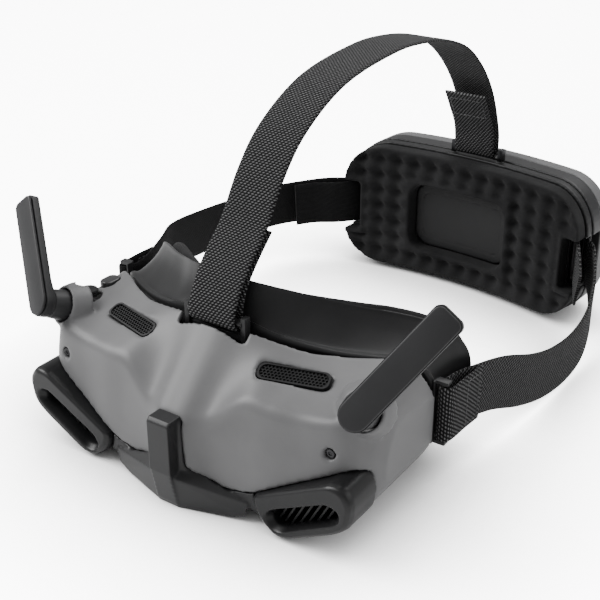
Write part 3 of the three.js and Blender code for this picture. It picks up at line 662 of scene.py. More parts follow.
def circuit_board(name, mask, copper):
    """Solder mask with copper tracks under it."""
    material, nodes, links = new_material(name)

    place = nodes.new("ShaderNodeTexCoord")
    place.label = "the piece's own place"
    place.location = (-1000, 0)

    tracks = nodes.new("ShaderNodeTexBrick")
    tracks.label = "copper tracks"
    tracks.location = (-700, 0)
    tracks.inputs["Color1"].default_value = (*mask, 1)
    tracks.inputs["Color2"].default_value = (*mask, 1)
    tracks.inputs["Mortar"].default_value = (*copper, 1)
    tracks.inputs["Scale"].default_value = 90.0
    tracks.inputs["Mortar Size"].default_value = 0.04

    shader = nodes.new("ShaderNodeBsdfPrincipled")
    shader.label = "board"
    shader.location = (-350, 100)
    shader.inputs["Roughness"].default_value = 0.35

    output = nodes.new("ShaderNodeOutputMaterial")
    output.label = "surface"
    output.location = (-50, 100)

    links.new(place.outputs["Object"], tracks.inputs["Vector"])
    links.new(tracks.outputs["Color"], shader.inputs["Base Color"])
    links.new(shader.outputs["BSDF"], output.inputs["Surface"])
    return material


def pale_floor():
    material, nodes, links = new_material("pale_floor")

    place = nodes.new("ShaderNodeTexCoord")
    place.label = "place"
    place.location = (-800, 0)

    grain = nodes.new("ShaderNodeTexNoise")
    grain.label = "paper grain"
    grain.location = (-600, 0)
    grain.inputs["Scale"].default_value = 300.0

    bump = nodes.new("ShaderNodeBump")
    bump.label = "paper height"
    bump.location = (-400, -100)
    bump.inputs["Strength"].default_value = 0.02

    shader = nodes.new("ShaderNodeBsdfPrincipled")
    shader.label = "matt paper"
    shader.location = (-150, 0)
    shader.inputs["Base Color"].default_value = (0.93, 0.93, 0.93, 1)
    shader.inputs["Roughness"].default_value = 0.8
    shader.inputs["Emission Color"].default_value = (1, 1, 1, 1)

    # Painted shadow: the floor glows for the camera only, and ambient occlusion dims that glow near the
    # headset into a soft contact shadow.
    seen = nodes.new("ShaderNodeLightPath")
    seen.label = "what the camera sees"
    seen.location = (-600, -300)

    open_sky = nodes.new("ShaderNodeAmbientOcclusion")
    open_sky.label = "how open the floor is"
    open_sky.samples = 16
    open_sky.location = (-800, -500)
    open_sky.inputs["Distance"].default_value = 0.09

    painted_contact_shadow = nodes.new("ShaderNodeMath")
    painted_contact_shadow.label = "soft contact shadow"
    painted_contact_shadow.operation = "POWER"
    painted_contact_shadow.location = (-600, -500)
    painted_contact_shadow.inputs[1].default_value = 3.5

    lit = nodes.new("ShaderNodeMath")
    lit.label = "painted backdrop glow"
    lit.operation = "MULTIPLY"
    lit.location = (-400, -500)
    lit.inputs[1].default_value = 9.0

    glow = nodes.new("ShaderNodeMath")
    glow.label = "only for the camera"
    glow.operation = "MULTIPLY"
    glow.location = (-400, -300)

    output = nodes.new("ShaderNodeOutputMaterial")
    output.label = "surface"
    output.location = (150, 0)

    links.new(place.outputs["Object"], grain.inputs["Vector"])
    links.new(grain.outputs["Fac"], bump.inputs["Height"])
    links.new(bump.outputs["Normal"], shader.inputs["Normal"])
    links.new(open_sky.outputs["AO"], painted_contact_shadow.inputs[0])
    links.new(painted_contact_shadow.outputs["Value"], lit.inputs[0])
    links.new(seen.outputs["Is Camera Ray"], glow.inputs[0])
    links.new(lit.outputs["Value"], glow.inputs[1])
    links.new(glow.outputs["Value"], shader.inputs["Emission Strength"])
    links.new(shader.outputs["BSDF"], output.inputs["Surface"])
    return material


SHELL_GREY = moulded("shell_grey", (0.115, 0.115, 0.117), (0.14, 0.14, 0.142), 0.4, depth=0.1)
TRIM_GREY = moulded("trim_grey", (0.014, 0.014, 0.0145), (0.02, 0.02, 0.021), 0.4, depth=0.1)
SCOOP_BLACK = moulded("scoop_black", (0.007, 0.007, 0.0075), (0.012, 0.012, 0.0125), 0.36, depth=0.1)
ANTENNA_GREY = moulded("antenna_grey", (0.016, 0.016, 0.017), (0.022, 0.022, 0.023), 0.45, depth=0.12)
PACK_REAR_GREY = moulded("pack_rear_grey", (0.1, 0.1, 0.102), (0.12, 0.12, 0.122), 0.4, depth=0.1)
INNER_BLACK = moulded("inner_black", (0.006, 0.006, 0.0065), (0.01, 0.01, 0.0105), 0.5, depth=0.08)
KEY_GREY = moulded("key_grey", (0.02, 0.02, 0.021), (0.03, 0.03, 0.031), 0.3, depth=0.06, coat=0.3)
CELL_WRAP = moulded("cell_wrap", (0.25, 0.26, 0.28), (0.3, 0.31, 0.33), 0.25, depth=0.05, coat=0.5)
RUBBER = cellular("soft_rubber", (0.012, 0.012, 0.0125), (0.018, 0.018, 0.0185), 0.5, 0.42, 0.06, 0.02)
FOAM = cellular("open_foam", (0.008, 0.008, 0.0084), (0.02, 0.02, 0.0205), 0.45, 0.95, 0.5, 0.02)
STRAP = woven("strap_weave", (0.004, 0.004, 0.0042), (0.15, 0.15, 0.152), 1.5, math.radians(38))
STRAP_SMOOTH = woven("strap_loop_pile", (0.005, 0.005, 0.0052), (0.03, 0.03, 0.031), 0.8, math.radians(10))
THREAD = cellular("thread_fibre", (0.03, 0.03, 0.031), (0.14, 0.14, 0.142), 0.25, 0.85, 0.5, 0.1)
STEEL = metal("steel", (0.5, 0.5, 0.51), 0.3, 900.0)
BLACK_STEEL = metal("black_steel", (0.045, 0.045, 0.047), 0.34, 900.0)
ALUMINIUM = metal("aluminium", (0.75, 0.75, 0.77), 0.38, 600.0)
LENS_GLASS = coated_glass("lens_glass", (0.05, 0.06, 0.09), 0.03)
BOARD = circuit_board("board", (0.01, 0.09, 0.05), (0.35, 0.24, 0.08))


# ================================================================ casing
# Half sections from the middle outwards: x, then y and z of the rear bottom edge, front bottom,
# trim height, ridge crease and rear top edge.
SECTIONS = [
    (0, 50, 3, -10, 3, -12, 13, -11.5, 41, 20, 73),
    (6, 50, 3, -10, 3, -11.5, 13, -11, 41, 20.3, 72.8),
    (15.6, 50, 3, -6, 3, -7.5, 14, -6.5, 41.6, 21.8, 71.8),
    (30, 50, 3, -4, 3, -5.8, 15, -2.2, 53.8, 25.4, 69),
    (43, 50, 3, -3, 3, -5, 20, -0.9, 54.3, 30, 66.4),
    (56, 50, 4, -1, 4, -2.5, 25, 1.5, 54, 37, 65.5),
    (71, 50, 9, 2, 9, 0, 31, 4.1, 56.5, 46.7, 64.8),
    (78, 51, 13, 6, 13, 4, 36, 9, 58.5, 51, 62.5),
    (83, 54, 19, 11, 19, 10.5, 37, 17, 57, 53.5, 55.5),
    (86, 57, 25, 18, 25, 18, 37, 25, 51, 57, 47),
]
SECTION_ROUNDING = [0.6, 6.0, 8.0, 4.5, 0.6]
TRIM_LINE = [(6.2, 42), (7, 20), (12, 16), (24.6, 12.5), (36, 14.5), (42, 17), (48, 6)]
SCOOP = [(38, 15.5), (43, 18.5), (76, 36.5), (82, 36), (86, 30), (84.5, 19), (79, 14), (55, 1), (49, 0.5),
         (41, 7)]
SCOOP_SLOT = [(47, 9.5), (50, 13.5), (73, 25.5), (78, 24.5), (78.5, 20.5), (75, 17.5), (54, 5.5), (49, 5.5)]
SCOOP_FRONT, SCOOP_BACK = -7.5, 12.0
VENT_WIDTH, VENT_HEIGHT, VENT_CORNER = 31.0, 8.6, 2.9
STICK = (-76.5, 25.5, 61.0)
BACK_BUTTON = (-76.0, 39.0, 62.3)
SCREWS = [(-69.8, 43.0), (69.8, 43.0)]


def inset(corners, distances):
    """Moves each side of a convex outline inward by its own distance."""
    n = len(corners)
    sides = []
    for i in range(n):
        p, q = np.array(corners[i], float), np.array(corners[(i + 1) % n], float)
        along = (q - p) / np.linalg.norm(q - p)
        inward = np.array((along[1], -along[0]))
        sides.append((p + inward * distances[i], along))
    moved = []
    for i in range(n):
        (a, u), (b, w) = sides[i - 1], sides[i]
        turn = u[0] * w[1] - u[1] * w[0]
        t = ((b - a)[0] * w[1] - (b - a)[1] * w[0]) / turn
        moved.append(a + u * t)
    return moved


def casing(name, distances, scale_x):
    stations = [(-s[0], *s[1:]) for s in reversed(SECTIONS[1:])] + SECTIONS
    fine = through(stations, 181)
    rings = []
    for row in fine:
        corners = [(row[1 + 2 * k], row[2 + 2 * k]) for k in range(5)]
        corners = inset(corners, distances)
        line = round_corners(corners, SECTION_ROUNDING, arc=8, along=4)
        rings.append(np.column_stack([np.full(len(line), row[0] * scale_x), line[:, 0], line[:, 1]]))
    return loft(name, rings)


def casing_wall(name):
    outer = casing(name, [0] * 5, 1.0)
    return combine(outer, casing_hollow("hollow"), "DIFFERENCE")


def casing_hollow(name):
    return casing(name, [WALL, WALL, WALL, WALL, -40], (SIDE - WALL) / SIDE)


def trim_prism(shift):
    line = [(-x, z) for x, z in reversed(TRIM_LINE)] + list(TRIM_LINE) + [(48, -5), (-48, -5)]
    line = round_corners(line, 2.5, arc=5)
    return prism("trim_prism", [(x, z + shift) for x, z in line], -30, 16)


def grow(outline, by):
    line = np.asarray(outline, float)
    middle = line.mean(0)
    out = line - middle
    return middle + out * (1 + by / np.linalg.norm(out, axis=1))[:, None]


def both_sides(maker):
    solid = maker()
    return combine(solid, mirrored(solid, "twin"), "UNION")


def scoop_hole():
    return prism("scoop_hole", round_corners(grow(SCOOP, GAP + 0.2), 4.0), -30, SCOOP_BACK + GAP)


def antenna_frame(sign):
    """The hinge's own axes: Y runs back into the casing, Z up the upright blade."""
    out = Vector((0.25 * sign, -0.87, 0.42)).normalized()
    up = (Vector((0, 0, 1)) - out * out.z).normalized()
    back = -out
    across = back.cross(up)
    turn = Matrix((across, back, up)).transposed().to_4x4()
    return Matrix.Translation(Vector((82 * sign, -1.1, 66.5))) @ turn


def vent_frame(sign):
    along = Vector((30, 8.3, 0.1)).normalized()
    back = Vector((-1.8, 7, 3.3))
    back = (back - along * back.dot(along)).normalized()
    up = along.cross(back)
    turn = Matrix((along, back, up)).transposed().to_4x4()
    return Matrix.Diagonal((sign, 1, 1, 1)) @ Matrix.Translation(Vector((42.9, 16.9, 62.2))) @ turn


def vent_slot(name, width, height, low, high, sign):
    """A bar with rounded corners that stands square on the vent."""
    outline = rounded_rect(width, height, VENT_CORNER)
    rings = [np.column_stack([outline, np.full(len(outline), level)]) for level in (low, high)]
    return outward(placed(loft(name, rings), vent_frame(sign)))


def vent_dish(sign):
    """The shallow dished recess round a vent."""
    rings = []
    for less, level in ((2.2, -1.0), (-0.8, 0.2), (-3.8, 1.6)):
        outline = rounded_rect(VENT_WIDTH - 2 * less, VENT_HEIGHT - 2 * less, max(0.7, VENT_CORNER - less))
        rings.append(np.column_stack([outline, np.full(len(outline), level)]))
    return outward(placed(loft("vent_dish", rings), vent_frame(sign)))


def collar(sign):
    """The raised seat that flows out of the casing round an antenna's hub."""
    rings = []
    for depth, radius in ((13.2, 8.5), (14, 9.1), (15.6, 9.7), (18, 10.9), (22, 12.4)):
        rings.append([(radius * math.cos(a), depth, radius * math.sin(a))
                      for a in np.linspace(0, 2 * math.pi, 48, endpoint=False)])
    return outward(placed(loft("collar", rings), antenna_frame(sign)))


def collar_bore(sign):
    rings = [[(7.6 * math.cos(a), depth, 7.6 * math.sin(a))
              for a in np.linspace(0, 2 * math.pi, 40, endpoint=False)] for depth in (9.0, 21.2)]
    return outward(placed(loft("collar_bore", rings), antenna_frame(sign)))


KEEL_BAR = [(-17.6, 41.5), (-16, 43), (-9, 43), (-9, 0), (-13, 0), (-14, 2), (-17.6, 18)]


def keel(swell):
    """The bar down the middle of the front and the chin that carries it."""
    rings = [np.array([(x, y, z) for y, z in KEEL_BAR]) for x in (-5.5 - swell, 5.5 + swell)]
    bar = loft("keel_bar", rings)
    chin = mesh_object("chin", [Vector(p) * MM for p in (
        (-5.5, -15.5, 16), (5.5, -15.5, 16), (-5.5, -13.2, 0), (5.5, -13.2, 0),
        (-22, -7.5, 12), (22, -7.5, 12),
        (-24, -7, 0), (24, -7, 0), (-36, -5.4, 10), (36, -5.4, 10), (-36, -5, 1.6), (36, -5, 1.6),
        (-5.5, -8, 20), (5.5, -8, 20),
    )], [])
    work = bmesh.new()
    work.from_mesh(chin.data)
    bmesh.ops.convex_hull(work, input=work.verts)
    work.to_mesh(chin.data)
    work.free()
    foot_line = [(-24, -6.4), (-5.5, -12.4), (5.5, -12.4), (24, -6.4), (24, 6), (-24, 6)]
    foot = loft("foot", [[(x, y, z) for x, y in foot_line] for z in (0, 3.6 + swell)])
    return combine(combine(bar, outward(chin), "UNION"), foot, "UNION")


def make_shell():
    shell = casing_wall("shell_skin")
    combine(shell, trim_prism(0.35), "DIFFERENCE")
    combine(shell, both_sides(scoop_hole), "DIFFERENCE")
    for sign in (1, -1):
        seat = combine(collar(sign), casing_hollow("hollow"), "DIFFERENCE")
        combine(shell, seat, "UNION")
        combine(shell, collar_bore(sign), "DIFFERENCE")
        combine(shell, vent_dish(sign), "DIFFERENCE")
        combine(shell, vent_slot("slot", VENT_WIDTH, VENT_HEIGHT, -10, 10, sign), "DIFFERENCE")
        combine(shell, block("knob_slot", (24, 15.6, 12), (EYE_HALF_SPACING * sign, KNOB_Y, 2)), "DIFFERENCE")
    x, y, z = STICK
    combine(shell, drum("stick_well", 6.0, (x, y, z - 6), (x, y, z + 8)), "DIFFERENCE")
    key = rounded_rect(7.6, 11, 3.7, BACK_BUTTON[0], BACK_BUTTON[1])
    key_well = loft("key_well", [np.column_stack([key, np.full(len(key), level)]) for level in (56, 70)])
    combine(shell, key_well, "DIFFERENCE")
    for x, z in SCREWS:
        combine(shell, drum("screw_hole", 2.4, (x, -15, z), (x, 15, z)), "DIFFERENCE")
    combine(shell, block("strap_notch", (35, 20, 16), (0, 28.4, 71)), "DIFFERENCE")
    combine(shell, block("keel_room", (11.9, 20, 46), (0, -20.2, 21)), "DIFFERENCE")
    soften(shell, 0.85, 6)
    hand_over(shell, SHELL_GREY, "shell", "headset", "front_shell")


def make_trim():
    trim = casing("trim_skin", [0] * 5, 1.0)
    combine(trim, trim_prism(0), "INTERSECT")
    combine(trim, both_sides(scoop_hole), "DIFFERENCE")
    combine(trim, keel(0), "UNION")
    combine(trim, casing_hollow("hollow"), "DIFFERENCE")
    for sign in (1, -1):
        line = [(25.2, -6), (60, -6), (60, 11.5), (47, 7.2), (25.2, 0.1)]
        corner = prism("corner", [(x * sign, z) for x, z in line], -30, 20)
        combine(trim, corner, "DIFFERENCE")
    soften(trim, 0.55, 3)
    hand_over(trim, TRIM_GREY, "trim", "headset", "lower_trim")


def make_scoops():
    outline = round_corners(SCOOP, 7.0, arc=8, along=2)
    front = round_corners(grow(SCOOP, -2.4), 7.0, arc=8, along=2)
    near = round_corners(grow(SCOOP, -0.7), 7.0, arc=8, along=2)

    def ring(line, y):
        return np.column_stack([line[:, 0], np.full(len(line), y), line[:, 1]])

    scoop = loft("scoop_skin_left", [
        ring(front, SCOOP_FRONT), ring(near, SCOOP_FRONT + 1.0), ring(outline, SCOOP_FRONT + 3.2),
        ring(outline, SCOOP_BACK),
    ])
    combine(scoop, prism("slot", round_corners(SCOOP_SLOT, 3.5), -20, 30), "DIFFERENCE")
    wide = round_corners(grow(SCOOP_SLOT, 3.0), 4.0)
    slot = round_corners(SCOOP_SLOT, 4.0)
    mouth = loft("mouth", [ring(wide, SCOOP_FRONT - 0.5), ring(slot, SCOOP_FRONT + 3.4)])
    combine(scoop, mouth, "DIFFERENCE")
    soften(scoop, 0.5, 4)
    twin = mirrored(scoop, "scoop_skin_right")
    hand_over(scoop, SCOOP_BLACK, "black", "headset", "scoop_left")
    hand_over(twin, SCOOP_BLACK, "black", "headset", "scoop_right")


# ================================================================ light shield and face pad
SHIELD_FRONT = [
    (0, 27, 71), (14, 27, 70.3), (24, 27.5, 68.5), (34, 30, 66.5), (48, 35.6, 64.2), (62, 43, 63),
    (73, 51, 61.5), (79, 56.5, 56), (82.5, 60, 47), (83, 61.5, 36), (81.5, 60, 24), (76, 55, 14),
    (60, 52.5, 8), (40, 52, 6), (20, 52, 6), (0, 52, 6),
]
SHIELD_RIM = [
    (0, 32.5, 88), (16, 35, 87), (27, 40.5, 84.5), (38, 48, 81), (51, 56.5, 77.5), (62, 65, 74.5),
    (73, 74, 70), (80.5, 82, 63), (84.5, 88, 53), (85.5, 90, 42), (84.5, 90, 30), (79, 88, 18),
    (66, 84, 9), (44, 78, 7), (24, 66, 16), (0, 56, 24),
]
RING_CENTRE = np.array([0.0, 50.0, 42.0])


def whole_ring(half, count=260):
    mirror = [(-x, y, z) for x, y, z in reversed(half[1:-1])]
    return through(list(half) + mirror, count, closed=True)


def ring_body(name, section):
    """A closed body swept round the face; the section is (part of the way to the rim, pull inward)."""
    front, rim = whole_ring(SHIELD_FRONT), whole_ring(SHIELD_RIM)
    rings = []
    for t, pull in section:
        line = front * (1 - t) + rim * t
        inward = RING_CENTRE - line
        inward[:, 1] = 0
        inward /= np.linalg.norm(inward, axis=1)[:, None]
        rings.append(line + inward * pull)
    return loft(name, rings, loop=True)


def make_light_shield():
    wall = through([(0.0, 0.3), (0.3, 1.8), (0.65, 2.0), (0.9, 0.9), (1.0, 0.0)], 26)
    skirt = [(-0.3, 3.6), (-0.15, 3.2), (-0.03, 2.9)]
    bead = [(-0.01, 0.9), (-0.01, -0.6), (0.02, -1.5), (0.06, -1.6), (0.1, -0.7), (0.13, 0.7)]
    outer = skirt + bead + [(t, pull) for t, pull in wall if t > 0.15]
    rim = [(1.025, 0.1), (1.035, 0.7), (1.025, 1.4)]
    inner = [(t, pull + 1.8) for t, pull in reversed(wall) if t > 0.2]
    inner += [(0.1, 4.4), (0.0, 4.8), (-0.15, 5.0), (-0.3, 5.0)]
    shield = ring_body("light_shield_skin", outer + rim + inner)
    smooth_shade(shield, 60)
    hand_over(shield, RUBBER, "rubber", "headset", "light_shield")


def make_face_pad():
    outer = [(0.74, 7.0), (0.9, 5.6), (1.03, 5.1), (1.16, 4.9), (1.24, 6.8), (1.23, 9.6)]
    inner = [(1.19, 13.0), (1.1, 14.8), (0.98, 14.4), (0.84, 13.0), (0.74, 11.4), (0.72, 9.0)]
    pad = ring_body("face_pad_foam", through(outer + inner, 56, closed=True))
    smooth_shade(pad, 60)
    hand_over(pad, FOAM, "foam", "headset", "face_pad")


# ================================================================ straps
def centripetal(points, step):
    """An even walk along the smooth line through the points."""
    p = [np.array(q, float) for q in points]
    p = [2 * p[0] - p[1]] + p + [2 * p[-1] - p[-2]]
    line = []
    for i in range(1, len(p) - 2):
        a, b, c, d = p[i - 1:i + 3]
        t0 = 0.0
        t1 = t0 + np.linalg.norm(b - a) ** 0.5
        t2 = t1 + np.linalg.norm(c - b) ** 0.5
        t3 = t2 + np.linalg.norm(d - c) ** 0.5
        count = max(3, int(np.linalg.norm(c - b) / step))
        for t in np.linspace(t1, t2, count, endpoint=False):
            ab = (t1 - t) / (t1 - t0) * a + (t - t0) / (t1 - t0) * b
            bc = (t2 - t) / (t2 - t1) * b + (t - t1) / (t2 - t1) * c
            cd = (t3 - t) / (t3 - t2) * c + (t - t2) / (t3 - t2) * d
            near = (t2 - t) / (t2 - t0) * ab + (t - t0) / (t2 - t0) * bc
            far = (t3 - t) / (t3 - t1) * bc + (t - t1) / (t3 - t1) * cd
            line.append((t2 - t) / (t2 - t1) * near + (t - t1) / (t2 - t1) * far)
    line.append(p[-2])
    return np.array(line)


def strap_frames(points, across, step=1.6):
    """Along a strap: its middle line, the direction across it and the one out of its face."""
    line = centripetal(points, step)
    tangent = np.gradient(line, axis=0)
    tangent /= np.linalg.norm(tangent, axis=1)[:, None]
    flat = np.cross(np.array(across, float), tangent)
    flat /= np.linalg.norm(flat, axis=1)[:, None]
    return line, np.cross(tangent, flat), flat


def webbing(name, points, width, across):
    """Flat webbing with rolled edges; its UV map holds millimetres across and along it."""
    line, side, flat = strap_frames(points, across)
    run = np.concatenate([[0.0], np.cumsum(np.linalg.norm(np.diff(line, axis=0), axis=1))])
    half = width / 2
    profile = [(u, WEBBING / 2 * (1 if abs(u) < half - 1.4 else 0.8))
               for u in np.linspace(-half + 0.4, half - 0.4, 17)]
    section = profile + [(half, 0.0)] + [(u, -v) for u, v in reversed(profile)] + [(-half, 0.0)]
    rings = [centre + np.outer([u for u, v in section], s) + np.outer([v for u, v in section], f)
             for centre, s, f in zip(line, side, flat)]
    columns = len(section)
    faces = grid_faces(len(rings), columns, False, True)
    faces.append(tuple(range(columns)))
    faces.append(tuple(range((len(rings) - 1) * columns, len(rings) * columns)))
    made = mesh_object(name, np.concatenate(rings) * MM, faces)
    layer = made.data.uv_layers.new(name="band")
    for loop in made.data.loops:
        row, column = divmod(loop.vertex_index, columns)
        layer.data[loop.index].uv = (section[column][0], run[row])
    work = bmesh.new()
    work.from_mesh(made.data)
    bmesh.ops.recalc_face_normals(work, faces=work.faces)
    work.to_mesh(made.data)
    work.free()
    return smooth_shade(made, 60)


WRAP = BAR_RADIUS + WEBBING / 2 + 0.5
TOP_BAR = (22.3, 73.6)
PACK_BAR = (253.7, 82.0)
LUG_BAR = (88.0, 62.5)
END_BAR = (73.5, 5.0)


def wrap(a, b, start, sense, place):
    """Five points that carry a strap half way round a bar."""
    angles = [math.radians(start + sense * i * 45) for i in range(5)]
    return [place(a + WRAP * math.cos(t), b + WRAP * math.sin(t)) for t in angles]


def side_path(lug_x, lug_z, run, bar_x, bar_y, bar_z, tail):
    s = 1 if lug_x > 0 else -1
    return [
        (lug_x + s * (WRAP + 1.3), 86, lug_z - 0.5), (lug_x + s * (WRAP + 0.7), 74, lug_z),
        *wrap(lug_x, LUG_BAR[1], 0 if s > 0 else 180, -s, lambda x, y: (x, y, lug_z)),
        (lug_x - s * (WRAP - 0.8), 74, lug_z), *run,
        *wrap(bar_x, bar_y, 0 if s > 0 else 180, s, lambda x, y: (x, y, bar_z)), *tail,
    ]


TOP_PATH = [
    (0, 46.5, 105.5), (0, 37, 96.5), (0, 28.6, 86.5), (0, TOP_BAR[0] + WRAP + 0.3, 78),
    *wrap(*TOP_BAR, 0, -1, lambda y, z: (0, y, z)),
    (0, 20.4, 78.5), (0, 25.6, 88.5), (0, 33.5, 98), (0.3, 42, 107), (0.8, 54, 126), (1.2, 67.5, 140.3),
    (1.5, 97, 155), (2, 140, 161), (2.5, 161, 160.8), (3, 190, 156.5), (3.6, 212, 148.5), (4.1, 229, 136),
    (4.4, 243, 120), (4.5, 252, 103), (4.5, PACK_BAR[0] + WRAP, 90),
    *wrap(*PACK_BAR, 0, -1, lambda y, z: (4.5, y, z)),
    (4.5, 248, 96), (4.5, 240, 109), (4.5, 234, 118),
]
LEFT_END = PACK_FRAME @ Vector((END_BAR[0], END_BAR[1], 0))
RIGHT_END = PACK_FRAME @ Vector((-END_BAR[0], END_BAR[1], 0))
LEFT_PATH = side_path(LUG_BAR[0], 37.0, [
    (89.5, 86, 36.2), (92.5, 104, 32), (96, 128, 23), (98, 150, 17), (99, 175, 14.6), (98.5, 194, 17),
    (95.5, 210, 23.5), (90, 224, 32), (84, 234.5, 37.4),
], LEFT_END.x, LEFT_END.y, 37.5, [(77, 233, 37.5), (80.5, 225, 37.2), (86, 214, 31)])
RIGHT_PATH = side_path(-LUG_BAR[0], 46.0, [
    (-89.8, 86, 47), (-95, 98, 47), (-103, 114, 46), (-109.5, 150, 41), (-110.5, 185, 37),
    (-106, 210, 36.5), (-96, 226, 37), (-84, 238, 38),
], RIGHT_END.x, RIGHT_END.y, 37.5, [(-75, 234.5, 38), (-86, 226, 38), (-94, 217, 37.5)])


def make_straps():
    top = webbing("top_webbing", TOP_PATH, TOP_STRAP_WIDTH, (1, 0, 0))
    hand_over(top, STRAP, "cloth", "headset", "top_strap")
    left = webbing("side_webbing_left", LEFT_PATH, SIDE_STRAP_WIDTH, (0, 0, 1))
    hand_over(left, STRAP, "cloth", "headset", "side_strap_left")
    right = webbing("side_webbing_right", RIGHT_PATH, SIDE_STRAP_WIDTH, (0, 0, 1))
    hand_over(right, STRAP_SMOOTH, "cloth", "headset", "side_strap_right")


# ================================================================ repeated details by geometry nodes
def copies_tree():
    """A node tree that stands one small cell on every point, turned as the point says."""
    tree = bpy.data.node_groups.new("copies_on_points", "GeometryNodeTree")
    for name, kind in (("Geometry", "NodeSocketGeometry"), ("Cell", "NodeSocketObject"),
                       ("Material", "NodeSocketMaterial"), ("Size Change", "NodeSocketFloat"),
                       ("Seed", "NodeSocketInt")):
        tree.interface.new_socket(name=name, in_out="INPUT", socket_type=kind)
    tree.interface.new_socket(name="Geometry", in_out="OUTPUT", socket_type="NodeSocketGeometry")

    given = tree.nodes.new("NodeGroupInput")
    given.label, given.location = "what the caller sets", (-800, 0)
    cell = tree.nodes.new("GeometryNodeObjectInfo")
    cell.label, cell.location = "the cell", (-560, -140)
    turn = tree.nodes.new("GeometryNodeInputNamedAttribute")
    turn.label, turn.location = "turn of each point", (-560, -380)
    least = tree.nodes.new("ShaderNodeMath")
    least.label, least.location = "smallest", (-560, -540)
    most = tree.nodes.new("ShaderNodeMath")
    most.label, most.location = "largest", (-560, -720)
    size = tree.nodes.new("FunctionNodeRandomValue")
    size.label, size.location = "size of each copy", (-320, -540)
    stand = tree.nodes.new("GeometryNodeInstanceOnPoints")
    stand.label, stand.location = "stand the cells", (-80, 0)
    real = tree.nodes.new("GeometryNodeRealizeInstances")
    real.label, real.location = "make them real", (140, 0)
    dress_up = tree.nodes.new("GeometryNodeSetMaterial")
    dress_up.label, dress_up.location = "finish", (360, 0)
    result = tree.nodes.new("NodeGroupOutput")
    result.label, result.location = "result", (580, 0)

    turn.data_type = "FLOAT_VECTOR"
    turn.inputs["Name"].default_value = "turn"
    least.operation = "SUBTRACT"
    least.inputs[0].default_value = 1.0
    most.operation = "ADD"
    most.inputs[0].default_value = 1.0
    size.data_type = "FLOAT"

    link = tree.links.new
    link(given.outputs["Cell"], cell.inputs["Object"])
    link(given.outputs["Size Change"], least.inputs[1])
    link(given.outputs["Size Change"], most.inputs[1])
    link(least.outputs[0], size.inputs[2])
    link(most.outputs[0], size.inputs[3])
    link(given.outputs["Seed"], size.inputs["Seed"])
    link(given.outputs["Geometry"], stand.inputs["Points"])
    link(cell.outputs["Geometry"], stand.inputs["Instance"])
    link(turn.outputs["Attribute"], stand.inputs["Rotation"])
    link(size.outputs[1], stand.inputs["Scale"])
    link(stand.outputs["Instances"], real.inputs["Geometry"])
    link(real.outputs["Geometry"], dress_up.inputs["Geometry"])
    link(given.outputs["Material"], dress_up.inputs["Material"])
    link(dress_up.outputs["Geometry"], result.inputs["Geometry"])
    return tree


COPIES = copies_tree()


def spread(name, cell, spots, material, change=0.0, seed=7):
    """One mesh made of a copy of the cell at every spot, a matrix in millimetres."""
    points = mesh_object(name, [spot.translation * MM for spot in spots], [])
    turns = points.data.attributes.new("turn", "FLOAT_VECTOR", "POINT")
    for value, spot in zip(turns.data, spots):
        value.vector = spot.to_euler("XYZ")
    step = points.modifiers.new("copies", "NODES")
    step.node_group = COPIES
    asked = {"Cell": cell, "Material": material, "Size Change": change, "Seed": seed}
    for socket in COPIES.interface.items_tree:
        if socket.in_out == "INPUT" and socket.name in asked:
            step[socket.identifier] = asked[socket.name]
    bpy.context.view_layer.update()
    settle(points)
    bpy.data.objects.remove(cell)
    return points


def turned(name, profile, sides=12):
    """A small body turned about Z from (height, radius) pairs."""
    rings = [[(radius * math.cos(a), radius * math.sin(a), height)
              for a in np.linspace(0, 2 * math.pi, sides, endpoint=False)] for height, radius in profile]
    return loft(name, rings)


def hex_cell(width, wall, low, high):
    rings = []
    for radius, level in ((width, low), (width, high), (width - wall, high), (width - wall, low)):
        reach = radius / 2 / math.cos(math.pi / 6)
        rings.append([(reach * math.cos(a), reach * math.sin(a), level)
                      for a in np.linspace(math.pi / 6, 2 * math.pi + math.pi / 6, 6, endpoint=False)])
    return loft("hex_cell", rings, loop=True)


def make_vents():
    pitch = HONEYCOMB_PITCH
    for side, sign in (("left", 1), ("right", -1)):
        at = vent_frame(sign)
        flip = Matrix.Diagonal((sign, 1, 1))
        upright = (at.to_3x3() @ flip).to_4x4()
        spots = []
        for row in range(-2, 3):
            for column in range(-10, 11):
                x = (column + (0.5 if row % 2 else 0.0)) * pitch
                if abs(x) < VENT_WIDTH / 2 - 1.2 - (0.8 if abs(row) == 2 else 0):
                    spots.append(Matrix.Translation(at @ Vector((x, row * pitch * 0.866, 0))) @ upright)
        comb = spread("vent_comb_" + side, hex_cell(pitch + 0.02, 0.34, -1.7, -1.0), spots, SCOOP_BLACK)
        backing = vent_slot("vent_rim_" + side, VENT_WIDTH - 0.6, VENT_HEIGHT - 0.6, -2.9, -0.55, sign)
        combine(backing, vent_slot("flange", VENT_WIDTH + 3, VENT_HEIGHT + 3, -3.6, -2.8, sign), "UNION")
        combine(backing, vent_slot("cut", VENT_WIDTH - 2.2, VENT_HEIGHT - 2.0, -1.62, 3, sign), "DIFFERENCE")
        hand_over(comb, SCOOP_BLACK, "mesh", "headset", "vent_mesh_" + side)
        hand_over(outward(backing), SCOOP_BLACK, "mesh", "headset", "vent_mesh_" + side)


